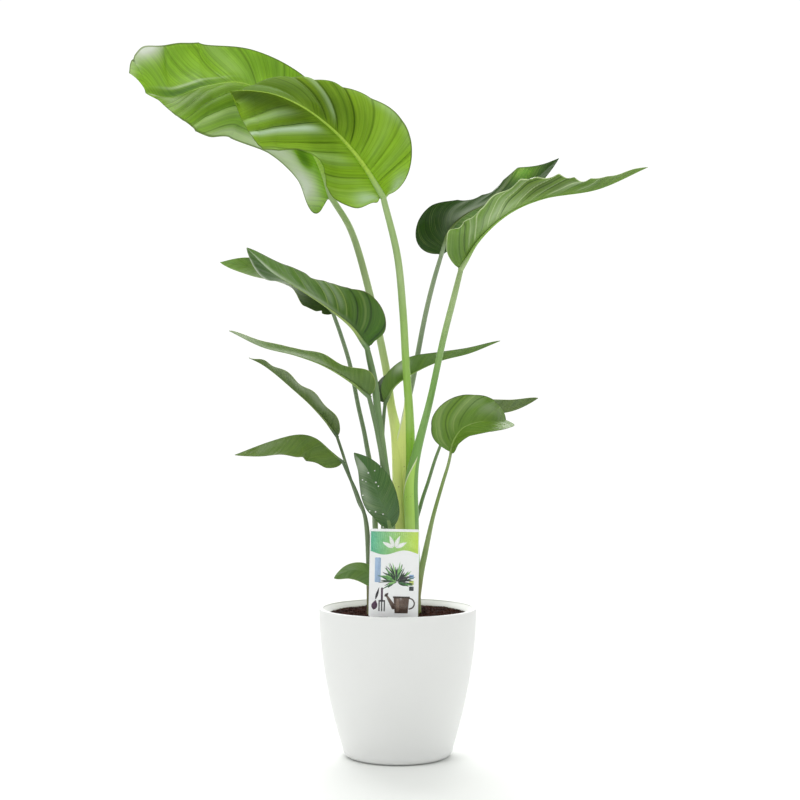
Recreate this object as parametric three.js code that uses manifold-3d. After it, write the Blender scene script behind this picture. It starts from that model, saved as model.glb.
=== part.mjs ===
// A young bird of paradise plant in a white pot, with a plant label stuck in the soil.
// Millimetres, +Z up. The origin is under the middle of the pot, on the ground.
// The leaves fan out along X. The label stands at the front, on the -Y side.
import * as THREE from 'three';
import Module from 'manifold-3d';
import { mergeVertices } from 'three/addons/utils/BufferGeometryUtils.js';

// Pot
const POT_HEIGHT = 235;
const RIM_RADIUS = 125;
const WALL_TAPER = 41;
const TAPER_POWER = 1.8;
const BASE_ROUNDING = 14;
const RIM_BAND = 6;
const RIM_ROUNDING = 1.5;
const INNER_RADIUS = 109;
const RIM_CHAMFER_DEPTH = 9;
const WALL = 6;
const FLOOR = 6;
const POT_SIDES = 40;
const OUTER_HEIGHTS = [45, 80, 120, 165];
const INNER_HEIGHTS = [125, 80, 45];
const POT_COLOR = 0xf0f0ee;

// Soil
const SOIL_LEVEL = 227;
const SOIL_CROWN = 2.5;
const SOIL_BUMP = 1;
const SOIL_RINGS = 6;
const SOIL_EDGE_DROP = 2;
const FOOT_DEPTH = 21;
const SOIL_COLOR = 0x372620;

// Clearance between pieces that touch on the real plant
const GAP = 0.3;

// Label
const LABEL_WIDTH = 76;
const LABEL_HEIGHT = 135;
const LABEL_THICKNESS = 0.8;
const LABEL_CORNER = 3;
const LABEL_Y = -95;
const LABEL_X = -7;
const LABEL_LEAN = 0.02;
const LABEL_BOTTOM = 232;
const STAKE_WIDTH = 16;
const STAKE_POINT = 4;
const STAKE_LENGTH = 44;
const STAKE_TAPER = 8;
const LABEL_COLOR = 0xdfe9ea;

// Leaves
const BLADE_THICKNESS = 0.9;
const TIP_HALF_WIDTH = 0.8;
const KEEL_FACTOR = 1.3;
const KEEL_TIP = 0.4;
const LOBE_REACH = 0.35;
const LOBE_START = 1.6;
const BLADE_FOOT = 1.2;
const RINGS_PER_POINT = 2;
const AWAY = new THREE.Vector3(0, 1, 0);

// Each leaf has a stalk, as points [x, y, z, radius] from its foot in the soil up to the blade, and
// a blade, as midrib points from that end to the tip. The two half blades have lists that run from
// base to tip: half is the half width, tilt the angle in degrees from the X-Z plane towards -Y, and
// curl how many degrees the half turns from midrib to margin. Beyond 90 degrees a half folds back
// over the midrib. lobe is how far its base hangs back down, and wave the height of the ripples of
// its margin with their number and start. shape holds the roundness of base and tip.
const FOOT = SOIL_LEVEL - FOOT_DEPTH;
const LEAVES = {
  leaf_01: {
    blade: 0x86b544, stalk: 0xa3bd6a, sides: 10, rows: 20, columns: 6, under: 1, shape: [0.45, 0.5],
    foot: [[4, 6, FOOT, 9.5], [2, 9, 357, 10], [-1, 14, 493, 9.5], [-11, 22, 557, 7],
      [-21, 28, 626, 6.4], [-46, 34, 739, 6], [-74, 42, 835, 5.5], [-108, 50, 894, 5]],
    rib: [[-108, 50, 894], [-131, 40, 953], [-173, 15, 1007], [-234, -15, 1038],
      [-299, -45, 1042], [-359, -72, 1048], [-411, -95, 1081]],
    left: { half: [40, 45, 84, 90, 90, 62, 40], tilt: [0, 0, 10, 15, 20, 45, 60],
      curl: [-10, -20, -50, -100, -130, -120, -60], lobe: 1.6 },
    right: { half: [85, 90, 96, 92, 96, 105, 115], tilt: [-10, -25, -25, -15, -10, -5, 0],
      curl: [20, 30, 50, 60, 60, 50, 40], lobe: 0.6 },
  },
  leaf_02: {
    blade: 0x6f9f3c, stalk: 0x9bb966, sides: 10, rows: 20, columns: 6, under: 1, shape: [0.4, 0.35],
    foot: [[24, 12, FOOT, 7], [21, 10, 357, 7.5], [20, 4, 485, 7.8], [18, -6, 549, 7],
      [13, -17, 620, 6.3], [8, -20, 707, 6.1], [-1, -24, 794, 5.8], [-23, -32, 884, 5]],
    rib: [[-23, -32, 884], [-54, -44, 933], [-93, -70, 976], [-137, -115, 1006],
      [-178, -170, 1018], [-212, -225, 1015], [-238, -275, 1005]],
    left: { half: [80, 84, 70, 74, 84, 82, 70], tilt: [10, 10, 30, 25, 10, 0, 0],
      curl: [20, 30, 40, 60, 60, 40, 20], lobe: 0.6, shape: [0.4, 0.22] },
    right: { half: [80, 100, 95, 88, 80, 75, 70], tilt: [0, 0, -40, -64, -82, -85, -85],
      curl: [-10, -10], lobe: 0.3 },
  },
  leaf_03: {
    blade: 0x3f5f38, stalk: 0x7d9168, sides: 8, rows: 16, columns: 4, under: 1, shape: [0.45, 0.8],
    foot: [[2, 30, FOOT, 6.5], [3, 32, 436, 6.5], [8, 36, 520, 5], [25, 48, 601, 4.5],
      [43, 60, 695, 4.2], [57, 66, 754, 4], [71, 70, 802, 3.5]],
    rib: [[71, 70, 802], [84, 80, 841], [112, 92, 871], [162, 100, 896], [218, 100, 924],
      [265, 90, 963]],
    left: { half: [60, 58, 42, 50, 60, 30], tilt: [10, 0, 60, 70, 35, 50], curl: [30, 30],
      lobe: 0.5 },
    right: { half: [50, 50], tilt: [-60, -65, -70, -75, -75, -70], curl: [0, 0], lobe: 0.6 },
  },
  leaf_04: {
    blade: 0x6a8f45, stalk: 0x9fbb63, sides: 10, rows: 24, columns: 4, under: 1, shape: [0.45, 0.8],
    foot: [[29, -12, FOOT, 9], [23, -13, 375, 10.5], [22, -13, 438, 10.5], [30, -14, 483, 7.5],
      [51, -20, 565, 5.5], [71, -30, 658, 5.2], [87, -38, 722, 5], [99, -43, 770, 4.2]],
    rib: [[99, -43, 770], [125, -55, 814], [170, -75, 853], [225, -100, 874], [303, -130, 884],
      [374, -160, 913]],
    left: { half: [58, 58], tilt: [30, 49, 50, 55, 58, 58], curl: [20, 20], lobe: 0.5,
      wave: [6, 5, 0.3] },
    right: { half: [58, 58], tilt: [-90, -100, -105, -105, -105, -100], curl: [0, 0], lobe: 0.3 },
  },
  leaf_05: {
    blade: 0x4b7a34, stalk: 0x86a160, sides: 8, rows: 16, columns: 4, under: 1, shape: [0.45, 0.8],
    foot: [[-8, -22, FOOT, 7.5], [-11, -26, 376, 7], [-22, -30, 475, 6], [-30, -34, 534, 6],
      [-36, -38, 589, 5.8], [-44, -42, 628, 5.2], [-48, -45, 646, 4.2]],
    rib: [[-48, -45, 646], [-71, -60, 679], [-109, -75, 709], [-150, -95, 735],
      [-192, -115, 760], [-228, -135, 795]],
    left: { half: [52, 52], tilt: [-90, -105, -110, -110, -105, -100], curl: [0, 0], lobe: 0.3 },
    right: { half: [58, 58], tilt: [0, 20, 50, 60, 52, 50], curl: [20, 20], lobe: 0.5 },
  },
  leaf_06: {
    blade: 0x2f5226, stalk: 0x728a63, sides: 8, rows: 14, columns: 4, under: 1, shape: [0.5, 0.8],
    foot: [[-33, 12, FOOT, 5], [-38, 18, 405, 4.5], [-51, 25, 497, 3.8], [-64, 30, 557, 3.6],
      [-77, 35, 621, 3.5], [-92, 40, 670, 3.4], [-105, 44, 706, 3.2]],
    rib: [[-105, 44, 706], [-129, 40, 733], [-161, 30, 752], [-198, 15, 767], [-238, 0, 778],
      [-281, -15, 783]],
    left: { half: [45, 45], tilt: [30, 50, 74, 73, 55, 40], curl: [20, 20], lobe: 0 },
    right: { half: [40, 40], tilt: [-40, -60, -75, -70, -40, -20], curl: [0, 0], lobe: 0 },
  },
  leaf_07: {
    blade: 0x4a6d3b, stalk: 0x6f8a5c, sides: 8, rows: 16, columns: 4, under: 1, shape: [0.45, 0.7],
    foot: [[-24, -31, FOOT, 5], [-22, -37, 361, 4.6], [-23, -46, 456, 4.2], [-31, -50, 510, 4],
      [-39, -52, 546, 3.8], [-45, -54, 570, 3.4]],
    rib: [[-45, -54, 570], [-71, -62, 593], [-113, -77, 618], [-158, -92, 634],
      [-207, -107, 646], [-256, -122, 670]],
    left: { half: [34, 34], tilt: [-90, -105, -110, -110, -105, -100], curl: [0, 0], lobe: 0.2 },
    right: { half: [36, 36], tilt: [20, 30, 55, 62, 60, 50], curl: [20, 20], lobe: 0.2,
      wave: [6, 3, 0.56] },
  },
  leaf_08: {
    blade: 0x4f7c3c, stalk: 0x5f7a4c, sides: 8, rows: 14, columns: 4, under: 1, shape: [0.45, 0.8],
    foot: [[-14, -2, FOOT, 4], [-16, -6, 374, 3.6], [-22, -8, 470, 3.2], [-24, -10, 509, 3],
      [-22, -12, 541, 2.9], [-20, -13, 560, 2.8]],
    rib: [[-20, -13, 560], [-6, -6, 587], [24, 8, 608], [68, 25, 628], [117, 40, 641],
      [166, 50, 661]],
    left: { half: [28, 30, 28, 20, 20, 20], tilt: [0, 15, 20, 45, 50, 50], curl: [20, 20],
      lobe: 0.4 },
    right: { half: [22, 22], tilt: [-90, -105, -115, -115, -105, -100], curl: [0, 0], lobe: 0.2 },
  },
  leaf_09: {
    blade: 0x55704a, stalk: 0x5d7450, sides: 8, rows: 14, columns: 3, under: 1, shape: [0.45, 1],
    foot: [[-42, -18, FOOT, 4], [-48, -20, 360, 3.2], [-63, -22, 407, 2.6], [-75, -24, 442, 2.5],
      [-86, -26, 478, 2.4], [-96, -28, 508, 2.4]],
    rib: [[-96, -28, 508], [-113, -30, 532], [-138, -34, 559], [-164, -38, 582],
      [-192, -42, 606], [-213, -44, 621], [-233, -46, 631]],
    left: { half: [20, 20], tilt: [-90, -105, -110, -110, -110, -105, -100], curl: [0, 0],
      lobe: 0 },
    right: { half: [22, 22], tilt: [20, 30, 40, 40, 40, 40, 30], curl: [20, 20], lobe: 0,
      wave: [2.5, 3, 0.2] },
  },
  leaf_10: {
    blade: 0x5a7b3e, stalk: 0x5d7450, sides: 8, rows: 16, columns: 4, under: -1,
    shape: [0.5, 0.75],
    foot: [[-44, -34, FOOT, 4], [-49, -36, 361, 3.2], [-62, -40, 413, 2.6], [-75, -43, 443, 2.5],
      [-86, -46, 468, 2.4]],
    rib: [[-86, -46, 468], [-104, -52, 485], [-129, -62, 506], [-157, -76, 511],
      [-199, -92, 500], [-249, -105, 481]],
    left: { half: [36, 40, 46, 46, 44, 40], tilt: [30, 40, 40, 40, 40, 40], curl: [30, 30],
      lobe: 0.3, wave: [2, 4, 0.2] },
    right: { half: [42, 42], tilt: [-90, -110, -120, -120, -120, -110], curl: [-20, -20],
      lobe: 0.2 },
  },
  leaf_11: {
    blade: 0x5c8238, stalk: 0x7f9a4d, sides: 8, rows: 14, columns: 4, under: 1, shape: [0.4, 0.5],
    foot: [[25, -42, FOOT, 5], [35, -44, 286, 5], [43, -46, 327, 4.6], [55, -50, 382, 3.2],
      [69, -54, 432, 2.8], [78, -58, 462, 2.5], [83, -60, 484, 2.2]],
    rib: [[83, -60, 484], [89, -62, 504], [103, -64, 522], [128, -62, 531], [153, -50, 532],
      [171, -20, 533]],
    left: { half: [54, 54, 52, 44, 38, 34], tilt: [-20, -10, 0, 0, 0, 0], curl: [20, 20],
      lobe: 0.2 },
    right: { half: [42, 42], tilt: [80, 79, 70, 65, 71, 71], curl: [20, 20], lobe: 0.1 },
  },
  leaf_12: {
    blade: 0x5f7a4e, stalk: 0x748f63, sides: 8, rows: 12, columns: 3, under: 1, shape: [0.45, 0.7],
    foot: [[20, 30, FOOT, 4.5], [24, 32, 339, 4], [37, 34, 396, 3.2], [49, 36, 433, 2.9],
      [60, 39, 468, 2.7], [71, 42, 497, 2.4]],
    rib: [[71, 42, 497], [85, 46, 523], [109, 50, 541], [142, 52, 550], [185, 50, 554],
      [227, 46, 568]],
    left: { half: [20, 20], tilt: [0, 10, 20, 30, 20, 20], curl: [20, 20], lobe: 0 },
    right: { half: [12, 12], tilt: [0, -20, -20, -20, -20, 0], curl: [0, 0], lobe: 0 },
  },
  leaf_13: {
    blade: 0x244a2a, stalk: 0x6f8f4a, sides: 8, rows: 12, columns: 3, under: -1,
    shape: [0.5, 0.8],
    foot: [[-12, -68, FOOT, 5], [-11, -66, 317, 4], [-12, -64, 366, 3.2]],
    rib: [[-12, -64, 366], [-18, -66, 391], [-28, -68, 413], [-37, -68, 438], [-49, -66, 461],
      [-68, -62, 483]],
    left: { half: [24, 25, 27, 27, 26, 26], tilt: [0, 0], curl: [30, 30], lobe: 0 },
    right: { half: [24, 25, 28, 29, 28, 26], tilt: [-10, -10], curl: [-20, -20], lobe: 0 },
  },
  leaf_14: {
    blade: 0x3c6330, stalk: 0x6f8f4a, sides: 8, rows: 12, columns: 3, under: -1,
    shape: [0.5, 0.7],
    foot: [[-11, -50, FOOT, 4], [-15, -52, 251, 3.2], [-23, -54, 269, 2.6]],
    rib: [[-23, -54, 269], [-37, -56, 288], [-56, -58, 299], [-77, -60, 299], [-99, -62, 288]],
    left: { half: [18, 18], tilt: [20, 20], curl: [30, 30], lobe: 0 },
    right: { half: [18, 18], tilt: [-50, -50], curl: [0, 0], lobe: 0 },
  },
};

const wasm = await Module();
wasm.setup();

// ---------------------------------------------------------------- curves

function spaceCurve(points) {
  const knots = points.map(([x, y, z]) => new THREE.Vector3(x, y, z));
  return new THREE.CatmullRomCurve3(knots, false, 'catmullrom', 0.5);
}

function valueCurve(values) {
  const curve = spaceCurve(values.map((value) => [value, 0, 0]));
  return (t) => curve.getPoint(t).x;
}

function direction(curve, t) {
  const step = 0.001;
  const ahead = curve.getPoint(Math.min(t + step, 1));
  return ahead.sub(curve.getPoint(Math.max(t - step, 0))).normalize();
}

function clamp01(value) {
  return Math.min(Math.max(value, 0), 1);
}

// ---------------------------------------------------------------- solids

function indexedGeometry(points, triangles) {
  const geometry = new THREE.BufferGeometry();
  geometry.setAttribute('position', new THREE.Float32BufferAttribute(points.flat(), 3));
  geometry.setIndex(triangles.flat());
  return geometry;
}

function toManifold(source) {
  const bare = source.clone();
  bare.deleteAttribute('normal');
  bare.deleteAttribute('uv');
  const geometry = mergeVertices(bare, 0.001);
  const vertProperties = new Float32Array(geometry.attributes.position.array);
  const triVerts = new Uint32Array(geometry.index.array);
  return new wasm.Manifold(new wasm.Mesh({ numProp: 3, vertProperties, triVerts }));
}

function fromManifold(solid) {
  const mesh = solid.getMesh();
  const geometry = new THREE.BufferGeometry();
  const points = new Float32Array(mesh.vertProperties);
  geometry.setAttribute('position', new THREE.BufferAttribute(points, 3));
  geometry.setIndex(new THREE.BufferAttribute(new Uint32Array(mesh.triVerts), 1));
  return geometry;
}

function addMesh(group, name, geometry, color, roughness) {
  geometry.computeVertexNormals();
  const material = new THREE.MeshStandardMaterial({ color, roughness, metalness: 0 });
  const mesh = new THREE.Mesh(geometry, material);
  mesh.name = name;
  group.add(mesh);
}

// ---------------------------------------------------------------- pot and soil

function outerRadius(z) {
  return RIM_RADIUS - WALL_TAPER * ((POT_HEIGHT - z) / POT_HEIGHT) ** TAPER_POWER;
}

function innerRadius(z) {
  return Math.min(INNER_RADIUS, outerRadius(z) - WALL);
}

function turned(profile) {
  const points = profile.map(([radius, z]) => new THREE.Vector2(radius, z));
  return new THREE.LatheGeometry(points, POT_SIDES).rotateX(Math.PI / 2);
}

function potGeometry() {
  const roundingCentre = outerRadius(BASE_ROUNDING) - BASE_ROUNDING;
  const profile = [[0, 0]];
  for (const degrees of [0, 30, 60]) {
    const angle = THREE.MathUtils.degToRad(degrees);
    const radius = roundingCentre + BASE_ROUNDING * Math.sin(angle);
    profile.push([radius, BASE_ROUNDING * (1 - Math.cos(angle))]);
  }
  for (const z of [BASE_ROUNDING, ...OUTER_HEIGHTS, POT_HEIGHT - RIM_ROUNDING]) {
    profile.push([outerRadius(z), z]);
  }
  profile.push([RIM_RADIUS - RIM_ROUNDING, POT_HEIGHT]);
  profile.push([RIM_RADIUS - RIM_BAND + RIM_ROUNDING, POT_HEIGHT]);
  profile.push([RIM_RADIUS - RIM_BAND, POT_HEIGHT - RIM_ROUNDING]);
  for (const z of [POT_HEIGHT - RIM_CHAMFER_DEPTH, ...INNER_HEIGHTS, BASE_ROUNDING]) {
    profile.push([innerRadius(z), z]);
  }
  profile.push([innerRadius(BASE_ROUNDING) - WALL, FLOOR]);
  profile.push([0, FLOOR]);
  return turned(profile);
}

function soilBump(x, y) {
  return SOIL_BUMP * (Math.sin(x / 9 + Math.sin(y / 13)) + Math.sin(y / 8 - Math.sin(x / 11)));
}

function soilGeometry() {
  const profile = [[0, FLOOR + GAP], [innerRadius(BASE_ROUNDING) - WALL - GAP, FLOOR + GAP]];
  const shelf = SOIL_LEVEL - SOIL_EDGE_DROP;
  for (const z of [BASE_ROUNDING + GAP, ...INNER_HEIGHTS.toReversed()]) {
    profile.push([innerRadius(z) - GAP, z]);
  }
  const edge = INNER_RADIUS - GAP;
  for (let ring = SOIL_RINGS; ring >= 0; ring -= 1) {
    const share = ring / SOIL_RINGS;
    profile.push([edge * share, shelf + SOIL_CROWN * (1 - share ** 4)]);
  }
  const geometry = turned(profile);
  const position = geometry.attributes.position;
  for (let i = 0; i < position.count; i += 1) {
    const [x, y, z] = [position.getX(i), position.getY(i), position.getZ(i)];
    const onTop = z > shelf && Math.hypot(x, y) < edge - 1;
    if (onTop) position.setZ(i, z + soilBump(x, y));
  }
  return geometry;
}

// ---------------------------------------------------------------- label

function labelGeometry(clearance) {
  const side = LABEL_WIDTH / 2 + clearance;
  const stake = STAKE_WIDTH / 2 + clearance;
  const point = STAKE_POINT / 2 + clearance;
  const deep = -STAKE_LENGTH - clearance;
  const shape = new THREE.Shape();
  shape.moveTo(-point, deep);
  shape.lineTo(point, deep);
  shape.lineTo(stake, deep + STAKE_TAPER);
  shape.lineTo(stake, 0);
  shape.lineTo(side - LABEL_CORNER, 0);
  shape.quadraticCurveTo(side, 0, side, LABEL_CORNER);
  shape.lineTo(side, LABEL_HEIGHT - LABEL_CORNER);
  shape.quadraticCurveTo(side, LABEL_HEIGHT, side - LABEL_CORNER, LABEL_HEIGHT);
  shape.lineTo(LABEL_CORNER - side, LABEL_HEIGHT);
  shape.quadraticCurveTo(-side, LABEL_HEIGHT, -side, LABEL_HEIGHT - LABEL_CORNER);
  shape.lineTo(-side, LABEL_CORNER);
  shape.quadraticCurveTo(-side, 0, LABEL_CORNER - side, 0);
  shape.lineTo(-stake, 0);
  shape.lineTo(-stake, deep + STAKE_TAPER);
  const depth = LABEL_THICKNESS + 2 * clearance;
  const geometry = new THREE.ExtrudeGeometry(shape, { depth, bevelEnabled: false, curveSegments: 3 });
  geometry.translate(0, 0, -depth / 2);
  geometry.rotateX(Math.PI / 2);
  geometry.rotateY(LABEL_LEAN);
  geometry.translate(LABEL_X, LABEL_Y, LABEL_BOTTOM);
  return geometry;
}

// ---------------------------------------------------------------- leaves

// A round stalk with tapering radius. extra widens it all round, for the hole it stands in.
function stalkGeometry(leaf, extra) {
  const curve = spaceCurve(leaf.foot);
  const radius = valueCurve(leaf.foot.map((point) => point[3]));
  const last = (leaf.foot.length - 1) * RINGS_PER_POINT;
  const bladeStart = direction(spaceCurve(leaf.rib), 0);
  const points = [];
  const triangles = [];
  for (let ring = 0; ring <= last; ring += 1) {
    const t = ring / last;
    const along = ring === last ? bladeStart : direction(curve, t);
    const centre = curve.getPoint(t);
    if (ring === 0) centre.addScaledVector(along, -extra);
    if (ring === last) centre.addScaledVector(along, -GAP);
    const across = new THREE.Vector3().crossVectors(along, AWAY).normalize();
    const third = new THREE.Vector3().crossVectors(along, across);
    for (let side = 0; side < leaf.sides; side += 1) {
      const angle = (2 * Math.PI * side) / leaf.sides;
      const point = centre.clone();
      point.addScaledVector(across, (radius(t) + extra) * Math.cos(angle));
      point.addScaledVector(third, (radius(t) + extra) * Math.sin(angle));
      points.push(point.toArray());
    }
  }
  for (let ring = 0; ring < last; ring += 1) {
    for (let side = 0; side < leaf.sides; side += 1) {
      const here = ring * leaf.sides + side;
      const next = ring * leaf.sides + ((side + 1) % leaf.sides);
      triangles.push([here, next, next + leaf.sides], [here, next + leaf.sides, here + leaf.sides]);
    }
  }
  const top = last * leaf.sides;
  for (let side = 2; side < leaf.sides; side += 1) {
    triangles.push([0, side, side - 1], [top, top + side - 1, top + side]);
  }
  return indexedGeometry(points, triangles);
}

// Points of one half blade at u along the midrib, from the midrib to the margin.
function halfRow(leaf, half, side, u, frame) {
  const [base, tip] = half.shape ?? leaf.shape;
  const widest = base / (base + tip);
  const stalkRadius = leaf.foot.at(-1)[3];
  const swell = (u / widest) ** base * ((1 - u) / (1 - widest)) ** tip;
  const start = BLADE_FOOT * stalkRadius;
  const smallest = start * (1 - u) + TIP_HALF_WIDTH * u;
  const width = Math.max(half.widthAt(u) * swell, smallest);
  const curl = THREE.MathUtils.degToRad(half.curlAt(u)) || 1e-4;
  const first = THREE.MathUtils.degToRad(half.tiltAt(u)) - curl / 2;
  const hang = half.lobe * clamp01(1 - u / LOBE_REACH) ** 2 * (width - smallest);
  const [height, count, phase] = half.wave ?? [0, 1, 0];
  const ripple = height * Math.sin(2 * Math.PI * (count * u + phase)) * Math.sin(Math.PI * u) ** 0.5;
  const lobeStart = LOBE_START * stalkRadius;
  const ribShare = (start * (1 - u) * 0.5 + TIP_HALF_WIDTH * 0.5) / width;
  const row = [];
  for (let column = 0; column <= leaf.columns; column += 1) {
    const even = (column - 1) / (leaf.columns - 1);
    const s = column === 0 ? 0 : ribShare + (1 - ribShare) * even;
    const angle = first + curl * s;
    const sideways = (width * (Math.sin(angle) - Math.sin(first))) / curl;
    const forward = (width * (Math.cos(first) - Math.cos(angle))) / curl;
    const lobeShare = clamp01((s * width - lobeStart) / Math.max(width - lobeStart, 1)) ** 2;
    const point = frame.centre.clone();
    point.addScaledVector(frame.across, side * (sideways - ripple * s * s * Math.sin(angle)));
    point.addScaledVector(frame.front, forward + ripple * s * s * Math.cos(angle));
    point.addScaledVector(frame.along, -hang * lobeShare);
    row.push(point);
  }
  return row;
}

function bladeRows(leaf) {
  const rib = spaceCurve(leaf.rib);
  const halves = [leaf.left, leaf.right].map((half) => ({
    ...half,
    widthAt: valueCurve(half.half),
    tiltAt: valueCurve(half.tilt),
    curlAt: valueCurve(half.curl),
  }));
  const rows = [];
  for (let i = 0; i <= leaf.rows; i += 1) {
    const share = i / leaf.rows;
    const u = 0.5 * share + 0.25 * (1 - Math.cos(Math.PI * share));
    const along = direction(rib, u);
    const across = new THREE.Vector3().crossVectors(along, AWAY).normalize();
    const front = new THREE.Vector3().crossVectors(along, across);
    const frame = { centre: rib.getPoint(u), along, across, front };
    const left = halfRow(leaf, halves[0], 1, u, frame);
    const right = halfRow(leaf, halves[1], -1, u, frame);
    rows.push({ u, points: [...left.slice(1).reverse(), ...right] });
  }
  return rows;
}

// The normal of the row grid at one of its points, from its neighbours.
function gridNormal(rows, i, j) {
  const above = rows[Math.min(i + 1, rows.length - 1)].points[j];
  const below = rows[Math.max(i - 1, 0)].points[j];
  const points = rows[i].points;
  const right = points[Math.min(j + 1, points.length - 1)];
  const left = points[Math.max(j - 1, 0)];
  const lengthwise = above.clone().sub(below);
  return lengthwise.cross(right.clone().sub(left)).normalize();
}

// A thin closed blade: two faces with the same triangles, and a keel along the midrib beneath.
function bladeGeometry(leaf) {
  const rows = bladeRows(leaf);
  const middle = leaf.columns;
  const across = 2 * leaf.columns + 1;
  const stalkRadius = leaf.foot.at(-1)[3];
  const faces = [[], []];
  rows.forEach(({ u, points }, i) => points.forEach((point, j) => {
    const normal = gridNormal(rows, i, j);
    const keel = j === middle ? KEEL_FACTOR * stalkRadius * (1 - u) + KEEL_TIP : 0;
    const half = BLADE_THICKNESS / 2;
    const front = half + (leaf.under < 0 ? keel : 0);
    const back = half + (leaf.under > 0 ? keel : 0);
    faces[0].push(point.clone().addScaledVector(normal, front).toArray());
    faces[1].push(point.clone().addScaledVector(normal, -back).toArray());
  }));
  const points = [...faces[0], ...faces[1]];
  const other = faces[0].length;
  const triangles = [];
  const wall = (from, to) => {
    triangles.push([to, from, from + other], [to, from + other, to + other]);
  };
  for (let i = 0; i < leaf.rows; i += 1) {
    for (let j = 0; j < across - 1; j += 1) {
      const a = i * across + j;
      const [b, c, d] = [a + across, a + across + 1, a + 1];
      triangles.push([a, b, c], [a, c, d]);
      triangles.push([a + other, c + other, b + other], [a + other, d + other, c + other]);
    }
    wall(i * across, (i + 1) * across);
    wall((i + 2) * across - 1, (i + 1) * across - 1);
  }
  for (let j = 0; j < across - 1; j += 1) {
    wall(j + 1, j);
    wall(leaf.rows * across + j, leaf.rows * across + j + 1);
  }
  return indexedGeometry(points, triangles);
}

// ---------------------------------------------------------------- the plant

const plant = new THREE.Group();
addMesh(plant, 'pot', potGeometry(), POT_COLOR, 0.5);

let soil = toManifold(soilGeometry()).subtract(toManifold(labelGeometry(GAP)));
for (const leaf of Object.values(LEAVES)) {
  soil = soil.subtract(toManifold(stalkGeometry(leaf, GAP)));
}
addMesh(plant, 'soil', fromManifold(soil), SOIL_COLOR, 0.95);

addMesh(plant, 'plant_label', labelGeometry(0), LABEL_COLOR, 0.35);

for (const [name, leaf] of Object.entries(LEAVES)) {
  addMesh(plant, `${name}_stalk`, stalkGeometry(leaf, 0), leaf.stalk, 0.45);
  addMesh(plant, `${name}_blade`, bladeGeometry(leaf), leaf.blade, 0.35);
}

export default plant;
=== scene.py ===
# A young bird of paradise plant in a white pot, with a plant label stuck in the soil.
# Metres, +Z up, the same frame as the solids. Sizes are written in millimetres, times MM.
import math

import bpy
import numpy as np
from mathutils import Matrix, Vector, noise


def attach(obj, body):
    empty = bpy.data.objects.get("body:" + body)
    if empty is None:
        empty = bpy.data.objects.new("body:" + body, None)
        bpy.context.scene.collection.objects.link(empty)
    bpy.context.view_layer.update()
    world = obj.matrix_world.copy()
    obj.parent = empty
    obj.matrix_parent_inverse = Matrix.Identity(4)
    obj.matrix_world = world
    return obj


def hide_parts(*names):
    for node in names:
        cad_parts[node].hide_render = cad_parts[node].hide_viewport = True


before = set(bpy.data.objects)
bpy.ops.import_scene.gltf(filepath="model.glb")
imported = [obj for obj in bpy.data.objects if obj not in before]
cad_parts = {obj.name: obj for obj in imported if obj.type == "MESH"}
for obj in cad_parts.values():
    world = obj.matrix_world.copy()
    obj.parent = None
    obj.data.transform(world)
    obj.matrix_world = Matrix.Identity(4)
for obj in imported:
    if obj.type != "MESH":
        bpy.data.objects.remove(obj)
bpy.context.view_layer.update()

MM = 0.001

# Fineness of the meshes: sides and rings of what is round, and rows and columns of what is flat,
# where a blade counts the columns of one half
POT_SIDES = 192
SOIL_GRID = (220, 70)
STALK_GRID = (28, 90)
RIB_SIDES = 14
DROP_GRID = (12, 6)
BIG_BLADE_GRID = (260, 48)
BLADE_GRID = (180, 30)
SHEATH_GRID = (60, 24)

# Pot
POT_HEIGHT = 235 * MM
RIM_RADIUS = 125 * MM
WALL_TAPER = 41 * MM
TAPER_POWER = 1.8
BASE_ROUNDING = 14 * MM
RIM_BAND = 6 * MM
RIM_ROUNDING = 1.5 * MM
INNER_RADIUS = 109 * MM
RIM_CHAMFER_DEPTH = 9 * MM
WALL = 6 * MM
FLOOR = 6 * MM

# Soil
SOIL_LEVEL = 227 * MM
SOIL_CROWN = 2.5 * MM
SOIL_BUMP = 1 * MM
SOIL_EDGE_DROP = 2 * MM
FOOT_DEPTH = 21 * MM
GAP = 0.3 * MM
SOIL_RADIUS = INNER_RADIUS - GAP
CRUMBS = 2600
CRUMB_SIDES = 5

# Label
LABEL_WIDTH = 76 * MM
LABEL_HEIGHT = 135 * MM
LABEL_THICKNESS = 0.8 * MM
LABEL_CORNER = 3 * MM
LABEL_Y = -95 * MM
LABEL_X = -7 * MM
LABEL_LEAN = 0.02
LABEL_BOTTOM = 232 * MM
STAKE_WIDTH = 16 * MM
STAKE_POINT = 4 * MM
STAKE_LENGTH = 44 * MM
STAKE_TAPER = 8 * MM
CARD_BEVEL = 0.15 * MM

# Print on the label: how far the first shape stands proud of the card, how much more each later
# one does, and how deep all reach into it. Then, in the label's own millimetres, where a colour
# that changes begins and ends, the band at the top, and the tuft, whose blades are spread over its
# fan by the golden ratio.
INK_RISE = 0.04 * MM
INK_STEP = 0.0012 * MM
INK_SINK = 0.1 * MM
INK_LEFT = -36
INK_RIGHT = 34
BAND_SIDE = 36.5
BAND_TOP = 131
BAND_LOW = 99
BAND_WAVE = 3.5
BAND_STRIPS = 24
TUFT_BLADES = 64
TUFT_FAN = 236
GOLDEN = 0.618

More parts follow.
